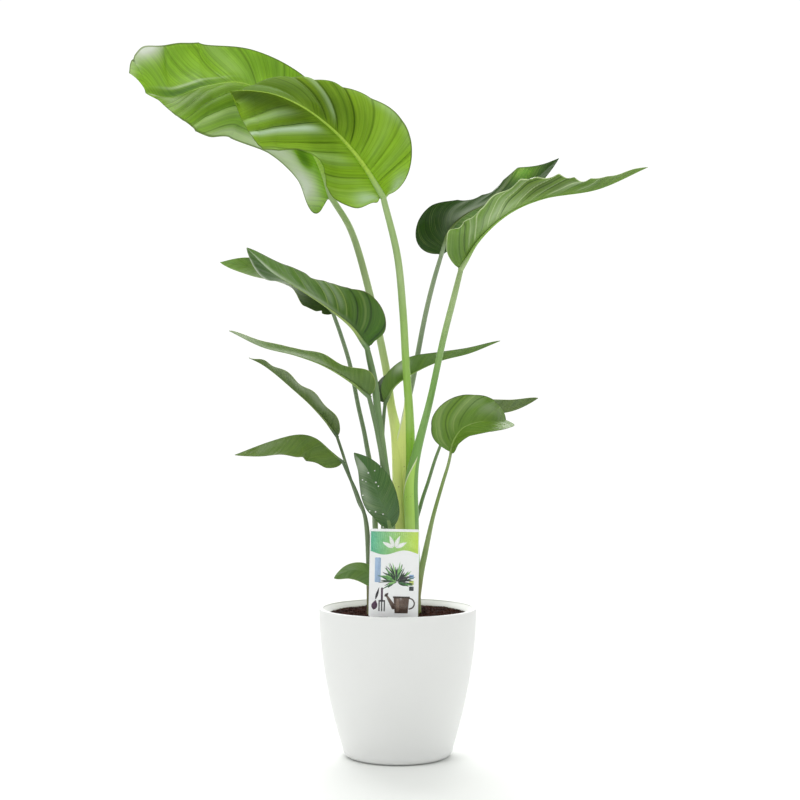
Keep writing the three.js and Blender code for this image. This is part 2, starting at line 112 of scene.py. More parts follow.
# Leaves. LOBE_REACH is a share of the midrib, and LOBE_START and BLADE_FOOT are in radii of the
# stalk's end. AWAY is the camera's direction, and SLANT the usual slant of the veins. UNDER_RIB
# counts the columns of a half blade that lie under the midrib. FOOT is the height of the feet.
BLADE_THICKNESS = 0.9 * MM
TIP_HALF_WIDTH = 0.8 * MM
LOBE_REACH = 0.35
LOBE_START = 1.6
BLADE_FOOT = 1.2
AWAY = np.array([0.0, 1.0, 0.0])
SLANT = [0.5, 1.5]
LINE_WIDTH = 2.4 * MM
VEIN_SPACING = 5.6 * MM
PAINTED_SHEEN_SPREAD = 0.24
EDGE_ROLL = 8 * MM
UNDER_RIB = 5
FOOT = round((SOIL_LEVEL - FOOT_DEPTH) / MM)

# Loose edges of the sheaths: name, the leaf that one wraps, colour, first and last angle, height
# of the top edge at either, looseness
SHEATH_PROUD = 0.2 * MM
SHEATH_THICKNESS = 0.7 * MM
SHEATHS = [
    ("leaf_04_sheath_wing", "leaf_04", (190, 234, 108), 186, 290, 412, 476, 1),
    ("leaf_02_sheath_wing", "leaf_02", (242, 255, 146), 176, 212, 506, 570, 12)]

# Drops of water on the small leaf at the front: across, up and radius in millimetres
DROPS = [(-46, 452, 1.3), (-36, 455, 1), (-55, 441, 1.2), (-49, 438, 0.9), (-34, 437, 1.3),
         (-30, 431, 1.1), (-54, 417, 1), (-44, 393, 1), (-35, 391, 1.3), (-23, 388, 1.2),
         (-24, 366, 1), (-26, 461, 0.8)]

# Light: how fast the room's radiance rises towards +X, +Y and +Z, that radiance without the rise,
# and the backdrop that the camera sees. A lamp has a name, a place, a size, which for the glow of
# the ceiling is the angle that it spans, and a power. All shine towards the middle of the plant.
ROOM_RISE = (0.0, 0.9, 0.35)
ROOM_LIGHT = 0.36
BACKDROP = 1.05
LAMPS = [
    ("softbox_left", (-2.1, -1.5, 1.9), 1.6, 3),
    ("softbox_right", (2.2, -0.6, 1.6), 1.4, 1.25),
    ("softbox_top", (-0.3, -0.9, 2.6), 0.8, 14),
    ("ceiling_glow", (-0.3, 2.5, 2.8), 50, 1.6)]
MIDDLE = Vector((0, 0, 0.55))
STUDIO_FLOOR = 12

# Camera: in front of the plant, level, with its lens and sensor in millimetres of film
CAMERA_PLACE = (3.5 * MM, -2627 * MM, 565 * MM)
CAMERA_LENS = 74.25
CAMERA_SENSOR = 36

# Each leaf has a stalk, whose foot is a list of points [x, y, z, radius] from the soil up to the
# blade, and a blade, whose midrib runs on from there through the points of rib to the tip.
# slot is the blade's material, and under is -1 where the upper side faces the front. shape holds
# the roundness of base and tip. under_tint and upper_tint are the colours of the two faces, stalk
# that of the stalk, and sheath that of the sheath round it, which fades between the two heights
# sheath_top. streaks is the strength of the stalk's darker streaks. edge and pale colour the margin
# and the pale veins, and painted_sheen is the colour of the painted sheen, a painted highlight laid
# over the folds and the spots where the blade should catch the light. veins and rib_pale say how
# much the veins and the midrib stand out, shine, coat and rough how glossy the blade is, glow how
# much light it lets by.
# The two half blades have lists that run from base to tip: half is the half width, tilt the angle
# in degrees from the X-Z plane towards -Y, curl how many degrees the half turns from midrib to
# margin, sweep how far the margin is drawn towards the tip, slant how far the veins lean towards
# it, calm how much of the pleats the margin keeps, and roll the slope of the outermost rim. cut is
# the share of the midrib from which the tip stops narrowing, lobe how far the base hangs back
# down, and wave the height of the margin's ripples, their number and their start. nicks are
# notches in the margin as [u, reach, depth], folds the pleats between veins as [place, rise,
# painted sheen], the painted sheen being a painted highlight along the fold's crest that turns to
# painted shade below zero, with lean where each has its crest, and lines single veins as [place,
# strength]: pale veins above zero, and below it dark lines of painted shade, mostly in the creases
# between the pleats. painted_light_spots are painted highlights as [u, reach, s, reach, amount],
# painted shade where the amount is below zero, and tint_and_painted_light_patches are parts tinted
# as [u, reach, s, reach, tint], lighter above 255, most of them painted shade and painted light, a
# few the leaf's own colour. u runs along the midrib and s from the midrib to the margin, both from
# 0 to 1.
LEAVES = {
    "leaf_01": dict(
        under_tint=(178, 219, 77), upper_tint=(152, 194, 66), stalk=(176, 200, 136), glow=0.46,
        sheath=(242, 255, 146), sheath_top=(0.46, 0.7), streaks=0.1, edge=(116, 142, 62), slot="bright",
        shape=[0.45, 0.5],
        foot=[[4, 6, FOOT, 9.5], [2, 9, 357, 10], [-1, 14, 493, 9.5], [-11, 22, 557, 7],
            [-21, 28, 626, 6.4], [-46, 34, 739, 6], [-74, 42, 835, 5.5], [-108, 50, 894, 5]],
        rib=[[-131, 40, 953], [-176, 15, 1022], [-240, -15, 1064], [-298, -45, 1056],
            [-348, -72, 1034], [-387, -95, 1036]],
        left=dict(
            half=[52, 44, 70, 111, 109, 30, 18], tilt=[0, 0, 10, 15, 20, 30, 40], shape=[0.2, 0.5],
            curl=[-10, -20, -50, -90, -110, -100, -60], lobe=0.85,
            sweep=[0, -2, -4, -11, -16, -10, 12, 53, 52, 42, 21, 5, 0], slant=[0.8, 3.2], lean=0.7,
            folds=[[20, 4, 0.3], [70, 6, 0.3], [133, 7, -0.2], [188, 6, 0.1], [240, 3, 0.2], [290, 0]],
            lines=[[70, -0.6], [133, -0.8], [188, -0.7], [240, -0.5], [286, 0.5], [296, -0.6],
                [310, 0.6], [318, -0.6]],
            calm=[0.6, 0.5, 0.5, 0.6, 0.3, 0.2],
            roll=[0.5, 0.6, 0.3, 0.2, 0.3],
            painted_light_spots=[[0.3, 0.12, 0.95, 0.35, 0.75], [0.16, 0.1, 0.75, 0.4, 0.7],
                [0.12, 0.06, 1, 0.25, 0.9], [0.07, 0.07, 0.6, 0.3, 0.7], [0.76, 0.16, 0.02, 0.05, 1],
                [0.96, 0.03, 0.3, 0.3, 0.7], [0.47, 0.14, 0.98, 0.12, 0.5],
                [0.85, 0.08, 0.5, 0.3, 0.35], [0.2, 0.04, 0.4, 0.16, -1.4]],
            tint_and_painted_light_patches=[[0.2, 0.04, 0.4, 0.16, (120, 140, 100)], [0.78, 0.2, 0.4, 0.6, (170, 176, 215)]]),
        right=dict(
            half=[108, 121, 96, 70, 80, 87, 62], tilt=[-10, -25, -25, -15, -10, -5, 0],
            shape=[0.45, 0.12], cut=0.9999, curl=[20, 30, 50, 60, 60, 50, 40], lobe=0.6,
            sweep=[0, 0, 0, 3, 7, 6, 4, -1, -12, -26, -8, 31, 27], nicks=[[0.985, 0.004, 0.12]],
            slant=[0.3, 0.7],
            folds=[[40, 2, 0], [100, 2, 0], [160, 3, 0], [212, 4, 0.15], [262, 1.5, -0.1], [310, 0]],
            lines=[[100, -0.4], [160, -0.5], [212, -0.6], [262, -0.4], [300, -0.4]],
            calm=[1, 0.8, 0.4, 0.1], roll=[0, -0.4, -0.5, -0.6],
            painted_light_spots=[[0.92, 0.07, 1, 0.22, 1.6], [0.74, 0.14, 0.2, 0.03, 0.6]],
            tint_and_painted_light_patches=[[0.78, 0.2, 0.08, 0.12, (84, 116, 98)]])),
    "leaf_02": dict(
        under_tint=(176, 214, 68), upper_tint=(152, 194, 62), stalk=(172, 202, 130), glow=0.44,
        sheath=(154, 206, 58), sheath_top=(0.5, 0.8), streaks=0.16, shine=0.1, coat=0, rough=0.6,
        edge=(110, 134, 58), painted_sheen=(196, 222, 188), slot="bright", shape=[0.4, 0.35],
        foot=[[24, 12, FOOT, 7], [21, 10, 357, 7.5], [20, 4, 485, 7.8], [18, -6, 549, 7],
            [13, -17, 620, 6.3], [8, -20, 707, 6.1], [-1, -24, 794, 5.8], [-23, -32, 884, 5]],
        rib=[[-54, -44, 933], [-93, -70, 976], [-137, -115, 1006], [-178, -170, 1018],
            [-212, -225, 1015], [-238, -275, 1005]],
        left=dict(
            half=[83, 97, 70, 71, 89, 102, 128], tilt=[10, 10, 30, 25, 10, 0, 0], shape=[0.4, 0.3],
            curl=[20, 30, 40, 60, 60, 40, 20], lobe=0.6, sweep=[0, 0, 0, 0, 0, 0, 0, 0, 0, 0, 4, 14, 0],
            nicks=[[0.02, 0.025, 0.35]], slant=[0.4, 1.0, 1.6, 2.55, 3.6], lean=0.72,
            folds=[[-10, 2, 0.1], [14, 2, 0.1], [34, 4, 0.3], [82, 4, -0.2], [104, 8, 1.15],
                [158, 8, 0.5], [222, 6, -0.4], [330, 0]],
            lines=[[14, 0.5], [34, -0.6], [60, -0.3], [82, -0.7], [104, -0.8], [158, -0.9],
                [222, -0.6]], calm=[1, 0.9, 0.6, 0.5, 0.1, 0.1], roll=[0.7, 0.5, -0.2, -0.2, -0.2],
            painted_light_spots=[[0.04, 0.045, 0.66, 0.28, 0.9]],
            tint_and_painted_light_patches=[[0.85, 0.3, 0.1, 0.22, (66, 80, 74)], [0.55, 0.12, 0.2, 0.3, (150, 160, 130)]]),
        right=dict(
            half=[86, 112, 104, 92, 76, 42, 4], tilt=[0, 0, -40, -64, -82, -82, -76], curl=[-10, -10],
            lobe=0.3, slant=[0.25, 0.6], lean=0.4,
            folds=[[0, 2, 0], [22, 2, 0.1], [46, 3, 0.1], [74, 4, -0.1], [97, 7, -0.5], [125, 6, 0.5],
                [148, 7, -0.3], [200, 5, -0.3], [260, 0]],
            lines=[[22, -0.3], [46, -0.4], [74, -0.5], [97, -0.9], [110, -0.5], [125, -0.8],
                [148, -0.9], [160, -0.4], [175, -0.5]], calm=[1, 1, 0.6, 0.5, 0.5],
            roll=[0.8, -0.2, -0.7, -0.7, -0.3],
            painted_light_spots=[[0.03, 0.04, 0.8, 0.25, 0.8], [0.25, 0.08, 0.98, 0.1, 0.4],
                [0.66, 0.13, 0.5, 0.6, -0.8]],
            tint_and_painted_light_patches=[[0.85, 0.22, 0.5, 0.8, (60, 72, 48)], [0.6, 0.15, 0.6, 0.6, (104, 118, 84)],
                [0.4, 0.14, 0.4, 0.45, (125, 138, 105)]])),
    "leaf_03": dict(
        under_tint=(56, 92, 32), upper_tint=(58, 92, 34), stalk=(150, 168, 134), glow=0.2,
        sheath=(190, 210, 130), sheath_top=(0.42, 0.56), shine=0.2, edge=(66, 90, 48), slot="dark",
        shape=[0.45, 0.8],
        foot=[[2, 30, FOOT, 6.5], [3, 32, 436, 6.5], [8, 36, 520, 5], [25, 48, 601, 4.5],
            [43, 60, 695, 4.2], [57, 66, 754, 4], [71, 70, 802, 3.5]],
        rib=[[84, 80, 841], [112, 92, 871], [162, 100, 896], [218, 100, 924], [265, 90, 963]],
        left=dict(
            half=[50, 58, 41, 50, 62, 30], tilt=[10, 0, 60, 70, 35, 50], curl=[30, 30], lobe=0.5,
            sweep=[0, -6, -10, -6, -3, 0, 0, 0, 0, 0, 0, 0, 0], slant=[0.4, 2.2],
            folds=[[-20, 2, 0], [12, 2, 0], [34, 3, 0.2], [60, 3, 0.2], [92, 3, 0.1], [130, 0]],
            lines=[[108, 0.6], [116, 0.6], [124, 0.5], [132, 0.4]],
            painted_light_spots=[[0.42, 0.16, 0.1, 0.25, 0.4]],
            tint_and_painted_light_patches=[[0.14, 0.16, 0.5, 0.6, (180, 190, 150)],
                [0.8, 0.08, 0.7, 0.5, (1500, 1200, 1150)]]),
        right=dict(
            half=[46, 46], tilt=[-35, -40, -50, -60, -70, -70], shape=[0.9, 0.8],
            tint_and_painted_light_patches=[[0.42, 0.15, 0.3, 0.4, (1000, 760, 1200)]])),
    "leaf_04": dict(
        under_tint=(142, 182, 78), upper_tint=(112, 148, 66), stalk=(172, 196, 132), glow=0.3,
        sheath=(128, 180, 84), sheath_top=(0.54, 0.78), streaks=0.25, shape=[0.45, 0.8],
        pale=(240, 248, 214), edge=(232, 244, 200), rib_pale=0,
        foot=[[29, -12, FOOT, 9], [23, -13, 375, 10.5], [22, -13, 438, 10.5], [30, -14, 483, 7.5],
            [51, -20, 565, 5.5], [71, -30, 658, 5.2], [87, -38, 722, 5], [99, -43, 770, 4.2]],
        rib=[[125, -55, 814], [170, -75, 853], [225, -100, 874], [303, -130, 884], [374, -160, 913]],
        left=dict(
            half=[48, 71, 46, 58, 65, 53, 52], tilt=[30, 49, 50, 55, 58, 58], curl=[20, 20], lobe=0.1,
            sweep=[0, 0, -1, -14, -15, -11, -2, 0, 0, 0, 0, 0, 0], slant=[0.7, 2.4],
            wave=[2.5, 7.7, 0.36],
            folds=[[0, 3, 0], [20, 4, 0.1], [45, 5, 0.1], [73, 4, 0.2], [91, 5, 0], [125, 6, -0.3],
                [160, 5, 0.3], [200, 4, -0.2], [240, 0]],
            lines=[[8, -0.7], [20, -1], [30, 0.5], [45, 1], [58, -0.7], [73, 1], [91, 1], [98, -1],
                [125, 1], [134, -0.9], [150, 0.6], [160, -1], [178, 0.9], [200, -0.9], [222, 0.8],
                [240, -0.6]], painted_light_spots=[[0.38, 0.12, 0.3, 0.3, 0.35]],
            tint_and_painted_light_patches=[[0.08, 0.1, 0.5, 0.7, (168, 186, 150)], [0.6, 0.12, 0.6, 0.5, (190, 180, 205)],
                [0.88, 0.22, 0.5, 0.7, (186, 186, 200)]]),
        right=dict(half=[58, 58], tilt=[-90, -100, -105, -105, -105, -100], lobe=0.3)),
    "leaf_05": dict(
        under_tint=(100, 142, 54), upper_tint=(84, 126, 48), stalk=(126, 158, 104), glow=0.25,
        rib_pale=0.9, edge=(112, 118, 72), shape=[0.45, 0.8],
        foot=[[-8, -22, FOOT, 7.5], [-11, -26, 376, 7], [-22, -30, 475, 6], [-30, -34, 534, 6],
            [-36, -38, 589, 5.8], [-44, -42, 628, 5.2], [-48, -45, 646, 4.2]],
        rib=[[-71, -60, 679], [-109, -75, 709], [-150, -95, 735], [-192, -115, 760], [-228, -135, 795]],
        left=dict(
            half=[52, 52, 52, 56], tilt=[-90, -105, -110, -105, -60, -50], lobe=0.3,
            painted_light_spots=[[0.85, 0.25, 1, 0.14, 0.9]], tint_and_painted_light_patches=[[0.85, 0.2, 0.5, 1.5, (100, 130, 70)]]),
        right=dict(
            half=[50, 61, 67, 66, 59, 58, 58], tilt=[0, 20, 50, 60, 52, 50], curl=[20, 20], lobe=0.4,
            nicks=[[0.62, 0.03, 0.12], [0.02, 0.035, 0.4]], slant=[0.3, 1.8],
            folds=[[0, 1.5, 0], [7, 2, 0], [20, 3, 0], [38, 4, -0.1], [56, 4, 0.3], [72, 4, 0.3],
                [91, 4, 0.1], [130, 3, 0.1], [170, 0]],
            lines=[[-14, -0.8], [4, -1], [20, -1], [27, 0.3], [38, -1], [56, 0.6], [72, 0.6],
                [91, 0.6], [112, -0.5], [130, 0.4]], calm=[0.5, 0.2, 0.1, 0.1],
            painted_light_spots=[[0.85, 0.2, 0.05, 0.12, 0.6], [0.5, 0.2, 0.03, 0.07, 0.5]],
            tint_and_painted_light_patches=[[0.06, 0.16, 0.6, 0.9, (160, 215, 60)], [0.32, 0.2, 0.5, 0.8, (190, 196, 160)]])),
    "leaf_06": dict(
        under_tint=(112, 146, 76), upper_tint=(96, 130, 60), stalk=(134, 156, 120), glow=0.3,
        slot="dark", shape=[0.5, 0.8], shine=0.15, rough=0.5,
        foot=[[-33, 12, FOOT, 5], [-38, 18, 405, 4.5], [-51, 25, 497, 3.8], [-64, 30, 557, 3.6],
            [-77, 35, 621, 3.5], [-92, 40, 670, 3.4], [-105, 44, 706, 3.2]],
        rib=[[-129, 40, 733], [-161, 30, 752], [-198, 15, 767], [-238, 0, 778], [-281, -15, 783]],
        left=dict(
            half=[34, 46, 52, 46, 45, 45, 45], tilt=[30, 50, 72, 73, 55, 40], curl=[20, 20],
            sweep=[0, 5, 10, 12, 12, 8, 2, 0, 0, 0, 0, 0, 0], nicks=[[0.06, 0.012, 0.3]],
            tint_and_painted_light_patches=[[0, 0.6, 0.5, 2, (80, 90, 60)], [1, 0.3, 0.5, 2, (520, 480, 560)]]),
        right=dict(
            half=[40, 40], tilt=[-40, -60, -75, -70, -40, -20], shape=[0.5, 1],
            tint_and_painted_light_patches=[[0, 0.6, 0.5, 2, (80, 90, 60)], [1, 0.3, 0.5, 2, (520, 480, 560)]])),
    "leaf_07": dict(
        under_tint=(112, 146, 70), upper_tint=(94, 130, 60), stalk=(111, 138, 92), glow=0.25,
        shape=[0.45, 0.7],
        foot=[[-24, -31, FOOT, 5], [-22, -37, 361, 4.6], [-23, -46, 456, 4.2], [-31, -50, 510, 4],
            [-39, -52, 546, 3.8], [-45, -54, 570, 3.4]],
        rib=[[-71, -62, 593], [-113, -77, 618], [-158, -92, 634], [-207, -107, 646], [-256, -122, 670]],
        left=dict(half=[34, 34], tilt=[-90, -105, -110, -110, -105, -100], lobe=0.2),
        right=dict(
            half=[36, 40, 20, 32, 24, 30, 30], tilt=[20, 30, 55, 62, 60, 50], curl=[20, 20], lobe=0.2,
            wave=[1.5, 3, 0.56], painted_light_spots=[[0.95, 0.12, 0.5, 0.5, 0.5], [0.6, 0.25, 0.1, 0.25, 0.5]])),
    "leaf_08": dict(
        under_tint=(112, 150, 66), upper_tint=(92, 130, 54), stalk=(95, 122, 76), glow=0.25,
        edge=(84, 104, 56), shape=[0.45, 0.8],
        foot=[[-14, -2, FOOT, 4], [-16, -6, 374, 3.6], [-22, -8, 470, 3.2], [-24, -10, 509, 3],
            [-22, -12, 541, 2.9], [-20, -13, 560, 2.8]],
        rib=[[-6, -6, 587], [24, 8, 608], [68, 25, 628], [117, 40, 641], [166, 50, 661]],
        left=dict(
            half=[28, 30, 28, 20, 20, 20], tilt=[0, 15, 20, 45, 50, 50], shape=[0.75, 0.8],
            curl=[20, 20], painted_light_spots=[[0.34, 0.06, 0.7, 0.3, 0.8]]),
        right=dict(
            half=[36, 30, 22, 22, 22, 22], tilt=[-165, -150, -120, -115, -105, -100], lobe=0.3,
            tint_and_painted_light_patches=[[0.1, 0.25, 0.6, 1.5, (80, 90, 66)]])),
    "leaf_09": dict(
        under_tint=(102, 128, 72), upper_tint=(88, 114, 60), stalk=(93, 116, 80), glow=0.2, slot="dark",
        shape=[0.45, 1],
        foot=[[-42, -18, FOOT, 4], [-48, -20, 360, 3.2], [-63, -22, 407, 2.6], [-75, -24, 442, 2.5],
            [-86, -26, 478, 2.4], [-96, -28, 508, 2.4]],
        rib=[[-113, -30, 532], [-138, -34, 559], [-164, -38, 582], [-192, -42, 606], [-213, -44, 621],
            [-233, -46, 631]],
        left=dict(half=[20, 20], tilt=[-90, -105, -110, -110, -110, -105, -100]),
        right=dict(
            half=[22, 22], tilt=[20, 30, 40, 40, 40, 40, 30], curl=[20, 20], wave=[3, 4.2, 0.2],
            painted_light_spots=[[0.4, 0.3, 0.75, 0.3, 0.25]])),
    "leaf_10": dict(
        under_tint=(128, 156, 90), upper_tint=(116, 148, 68), stalk=(93, 116, 80), glow=0.25,
        edge=(142, 152, 104), under=-1, shape=[0.5, 0.75],
        foot=[[-44, -34, FOOT, 4], [-49, -36, 361, 3.2], [-62, -40, 413, 2.6], [-75, -43, 443, 2.5],
            [-86, -46, 468, 2.4]],
        rib=[[-104, -52, 485], [-129, -62, 506], [-157, -76, 511], [-199, -92, 500], [-249, -105, 481]],
        left=dict(
            half=[34, 38, 46, 48, 46, 42], tilt=[30, 40, 40, 40, 40, 40], curl=[30, 30], lobe=0.1,
            sweep=[0, 0, 0, 0, 1, 7, 12, 10, 8, 5, 2, 0, 0], wave=[2, 4, 0.2]),
        right=dict(
            half=[42, 42], tilt=[-90, -110, -120, -120, -120, -110], curl=[-20, -20], lobe=0.2)),
    "leaf_11": dict(
        under_tint=(128, 168, 66), upper_tint=(104, 142, 56), edge=(84, 100, 48), stalk=(127, 154, 77),
        glow=0.28, shape=[0.4, 0.5],
        foot=[[25, -42, FOOT, 5], [35, -44, 286, 5], [43, -46, 327, 4.6], [55, -50, 382, 3.2],
            [69, -54, 432, 2.8], [78, -58, 462, 2.5], [83, -60, 484, 2.2]],
        rib=[[89, -62, 504], [103, -64, 522], [128, -62, 531], [153, -50, 532], [171, -20, 533]],
        left=dict(
            half=[52, 56, 52, 44, 38, 34], tilt=[-20, -10, 0, 0, 0, 0], shape=[0.55, 0.5],
            curl=[20, 20],
            folds=[[-30, 1.5, 0], [-8, 2, 0.08], [12, 2.5, 0.12], [34, 2, -0.2], [60, 0]],
            lines=[[-30, -0.7], [-19, -0.5], [-8, -0.7], [2, 0.3], [12, -0.7], [24, 0.4], [34, -0.6]],
            painted_light_spots=[[0.7, 0.16, 0.6, 0.3, 0.3]]),
        right=dict(half=[42, 42], tilt=[80, 79, 70, 65, 71, 71], curl=[20, 20], lobe=0.1)),
    "leaf_12": dict(
        under_tint=(116, 140, 88), upper_tint=(98, 122, 72), stalk=(116, 143, 99), glow=0.2,
        shape=[0.45, 0.7],
        foot=[[20, 30, FOOT, 4.5], [24, 32, 339, 4], [37, 34, 396, 3.2], [49, 36, 433, 2.9],
            [60, 39, 468, 2.7], [71, 42, 497, 2.4]],
        rib=[[85, 46, 523], [109, 50, 541], [142, 52, 550], [185, 50, 554], [227, 46, 568]],
        left=dict(half=[20, 20], tilt=[0, 10, 20, 30, 20, 20], curl=[20, 20]),
        right=dict(half=[12, 12], tilt=[0, -20, -20, -20, -20, 0])),
    "leaf_13": dict(
        under_tint=(96, 128, 84), upper_tint=(72, 116, 54), stalk=(111, 143, 74), glow=0.15,
        slot="dark", under=-1, shape=[0.5, 0.8], veins=0.1, shine=0.7, rough=0.26, edge=(62, 92, 50),
        foot=[[-12, -68, FOOT, 5], [-11, -66, 317, 4], [-12, -64, 366, 3.2]],
        rib=[[-18, -66, 391], [-28, -68, 413], [-37, -68, 438], [-49, -66, 461], [-68, -62, 483]],
        left=dict(
            half=[24, 25, 27, 27, 26, 26], tilt=[0, 0], curl=[30, 30],
            painted_light_spots=[[0.86, 0.12, 0.4, 0.8, 0.45], [0.5, 0.2, 0.75, 0.3, 0.3]]),
        right=dict(half=[24, 25, 28, 29, 28, 26], tilt=[-10, -10], curl=[-20, -20])),
    "leaf_14": dict(
        under_tint=(110, 138, 92), upper_tint=(112, 148, 84), stalk=(111, 143, 74), glow=0.2, under=-1,
        shape=[0.5, 0.7],
        foot=[[-11, -50, FOOT, 4], [-15, -52, 251, 3.2], [-23, -54, 269, 2.6]],
        rib=[[-37, -56, 288], [-56, -58, 299], [-77, -60, 299], [-99, -62, 288]],
        left=dict(half=[18, 18], tilt=[20, 20], curl=[30, 30]),
        right=dict(half=[18, 18], tilt=[-50, -50])),
}


# ---------------------------------------------------------------- numbers

def rgb(red, green, blue):
    """A display colour from 0 to 255 as the linear colour that a shader takes."""
    def linear(value):
        value /= 255
        return value / 12.92 if value <= 0.04045 else ((value + 0.055) / 1.055) ** 2.4
    return (linear(red), linear(green), linear(blue), 1.0)


def smooth(value, low=0.0, high=1.0):
    share = np.clip((value - low) / (high - low), 0, 1)
    return share * share * (3 - 2 * share)


def unit(vectors):
    return vectors / np.linalg.norm(vectors, axis=-1, keepdims=True)


def curve(points, t):
    """The points at each t, from 0 to 1, of the smooth curve that runs through the given ones."""
    knots = np.asarray(points, float)
    if knots.ndim == 1:
        knots = knots[:, None]
    count = len(knots) - 1
    knots = np.vstack([2 * knots[0] - knots[1], knots, 2 * knots[-1] - knots[-2]])
    place = np.clip(np.atleast_1d(t), 0, 1) * count
    first = np.minimum(place.astype(int), count - 1)
    f = (place - first)[:, None]
    before, start, end, after = (knots[first + k] for k in range(4))
    leave, arrive = (end - before) / 2, (after - start) / 2
    return (start + leave * f + (3 * (end - start) - 2 * leave - arrive) * f ** 2
            + (2 * (start - end) + leave + arrive) * f ** 3)


def values(numbers, t):
    """The same for a curve through plain numbers."""
    return curve(numbers, t)[:, 0]


def stacked(*numbers):
    """Rows [a, b, c] from arrays that are spread over one shape."""
    return np.stack(np.broadcast_arrays(*numbers), -1).reshape(-1, 3)


def direction(points, t):
    """The way that the curve through the points runs at each t."""
    step = 0.001
    return unit(curve(points, np.minimum(t + step, 1)) - curve(points, np.maximum(t - step, 0)))


def distances(points):
    """How far each point lies along the line through them."""
    return np.append(0, np.cumsum(np.linalg.norm(np.diff(points, axis=0), axis=1)))


# ---------------------------------------------------------------- meshes

def make_mesh(name, points, faces, smooth_angle=50, maps=None):
    """A mesh object that is shaded smooth up to an angle. maps are values for its points."""
    mesh = bpy.data.meshes.new(name)
    mesh.from_pydata(np.asarray(points).tolist(), [], faces)
    mesh.validate()
    for key, data in (maps or {}).items():
        data = np.asarray(data, np.float32)
        kind, field = ("FLOAT", "value") if data.ndim == 1 else ("FLOAT_VECTOR", "vector")
        mesh.attributes.new(key, kind, "POINT").data.foreach_set(field, data.ravel())
    mesh.shade_smooth()
    if smooth_angle:
        mesh.set_sharp_from_angle(angle=math.radians(smooth_angle))
    piece = bpy.data.objects.new(name, mesh)
    bpy.context.scene.collection.objects.link(piece)
    return piece


def add_piece(piece, slot, material, *nodes):
    """Hands a piece to the frame: its material and the solids that it replaces. slot is not used."""
    piece.data.materials.append(material)
    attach(piece, "root")
    if nodes:
        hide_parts(*nodes)


def grid_faces(rows, columns, start=0, closed=False, flip=False):
    """Quads of a grid of points. closed joins its last column to its first, flip turns them over."""
    faces = []
    for i in range(rows - 1):
        for j in range(columns if closed else columns - 1):
            a, b = start + i * columns + j, start + i * columns + (j + 1) % columns
            quad = (a, a + columns, b + columns, b)
            faces.append(quad[::-1] if flip else quad)
    return faces


def plate_faces(rows, columns, flip=False):
    """A closed plate between two grids of points, of which the second follows the first."""
    other = rows * columns
    rim = [i * columns for i in range(rows)]
    rim += [(rows - 1) * columns + j for j in range(1, columns)]
    rim += [i * columns + columns - 1 for i in range(rows - 2, -1, -1)]
    rim += list(range(columns - 2, 0, -1))
    faces = grid_faces(rows, columns) + grid_faces(rows, columns, other, flip=True)
    faces += [(a + other, b + other, b, a) for a, b in zip(rim, rim[1:] + rim[:1])]
    return [face[::-1] for face in faces] if flip else faces


def tube_faces(rings, sides, start=0, flip=False):
    """A tube with a flat cap at either end. flip is for rings that turn clockwise on their way."""
    last = start + (rings - 1) * sides
    faces = grid_faces(rings, sides, start, closed=True, flip=True)
    faces += [tuple(range(start, start + sides))[::-1], tuple(range(last, last + sides))]
    return [face[::-1] for face in faces] if flip else faces


def ring_points(radius, z, sides, shift=0.0):
    """Points round the axis. shift turns them by that share of the step between two."""
    angles = 2 * math.pi * (np.arange(sides) + shift) / sides
    return [(radius * math.cos(a), radius * math.sin(a), z) for a in angles]


# ---------------------------------------------------------------- shader nodes

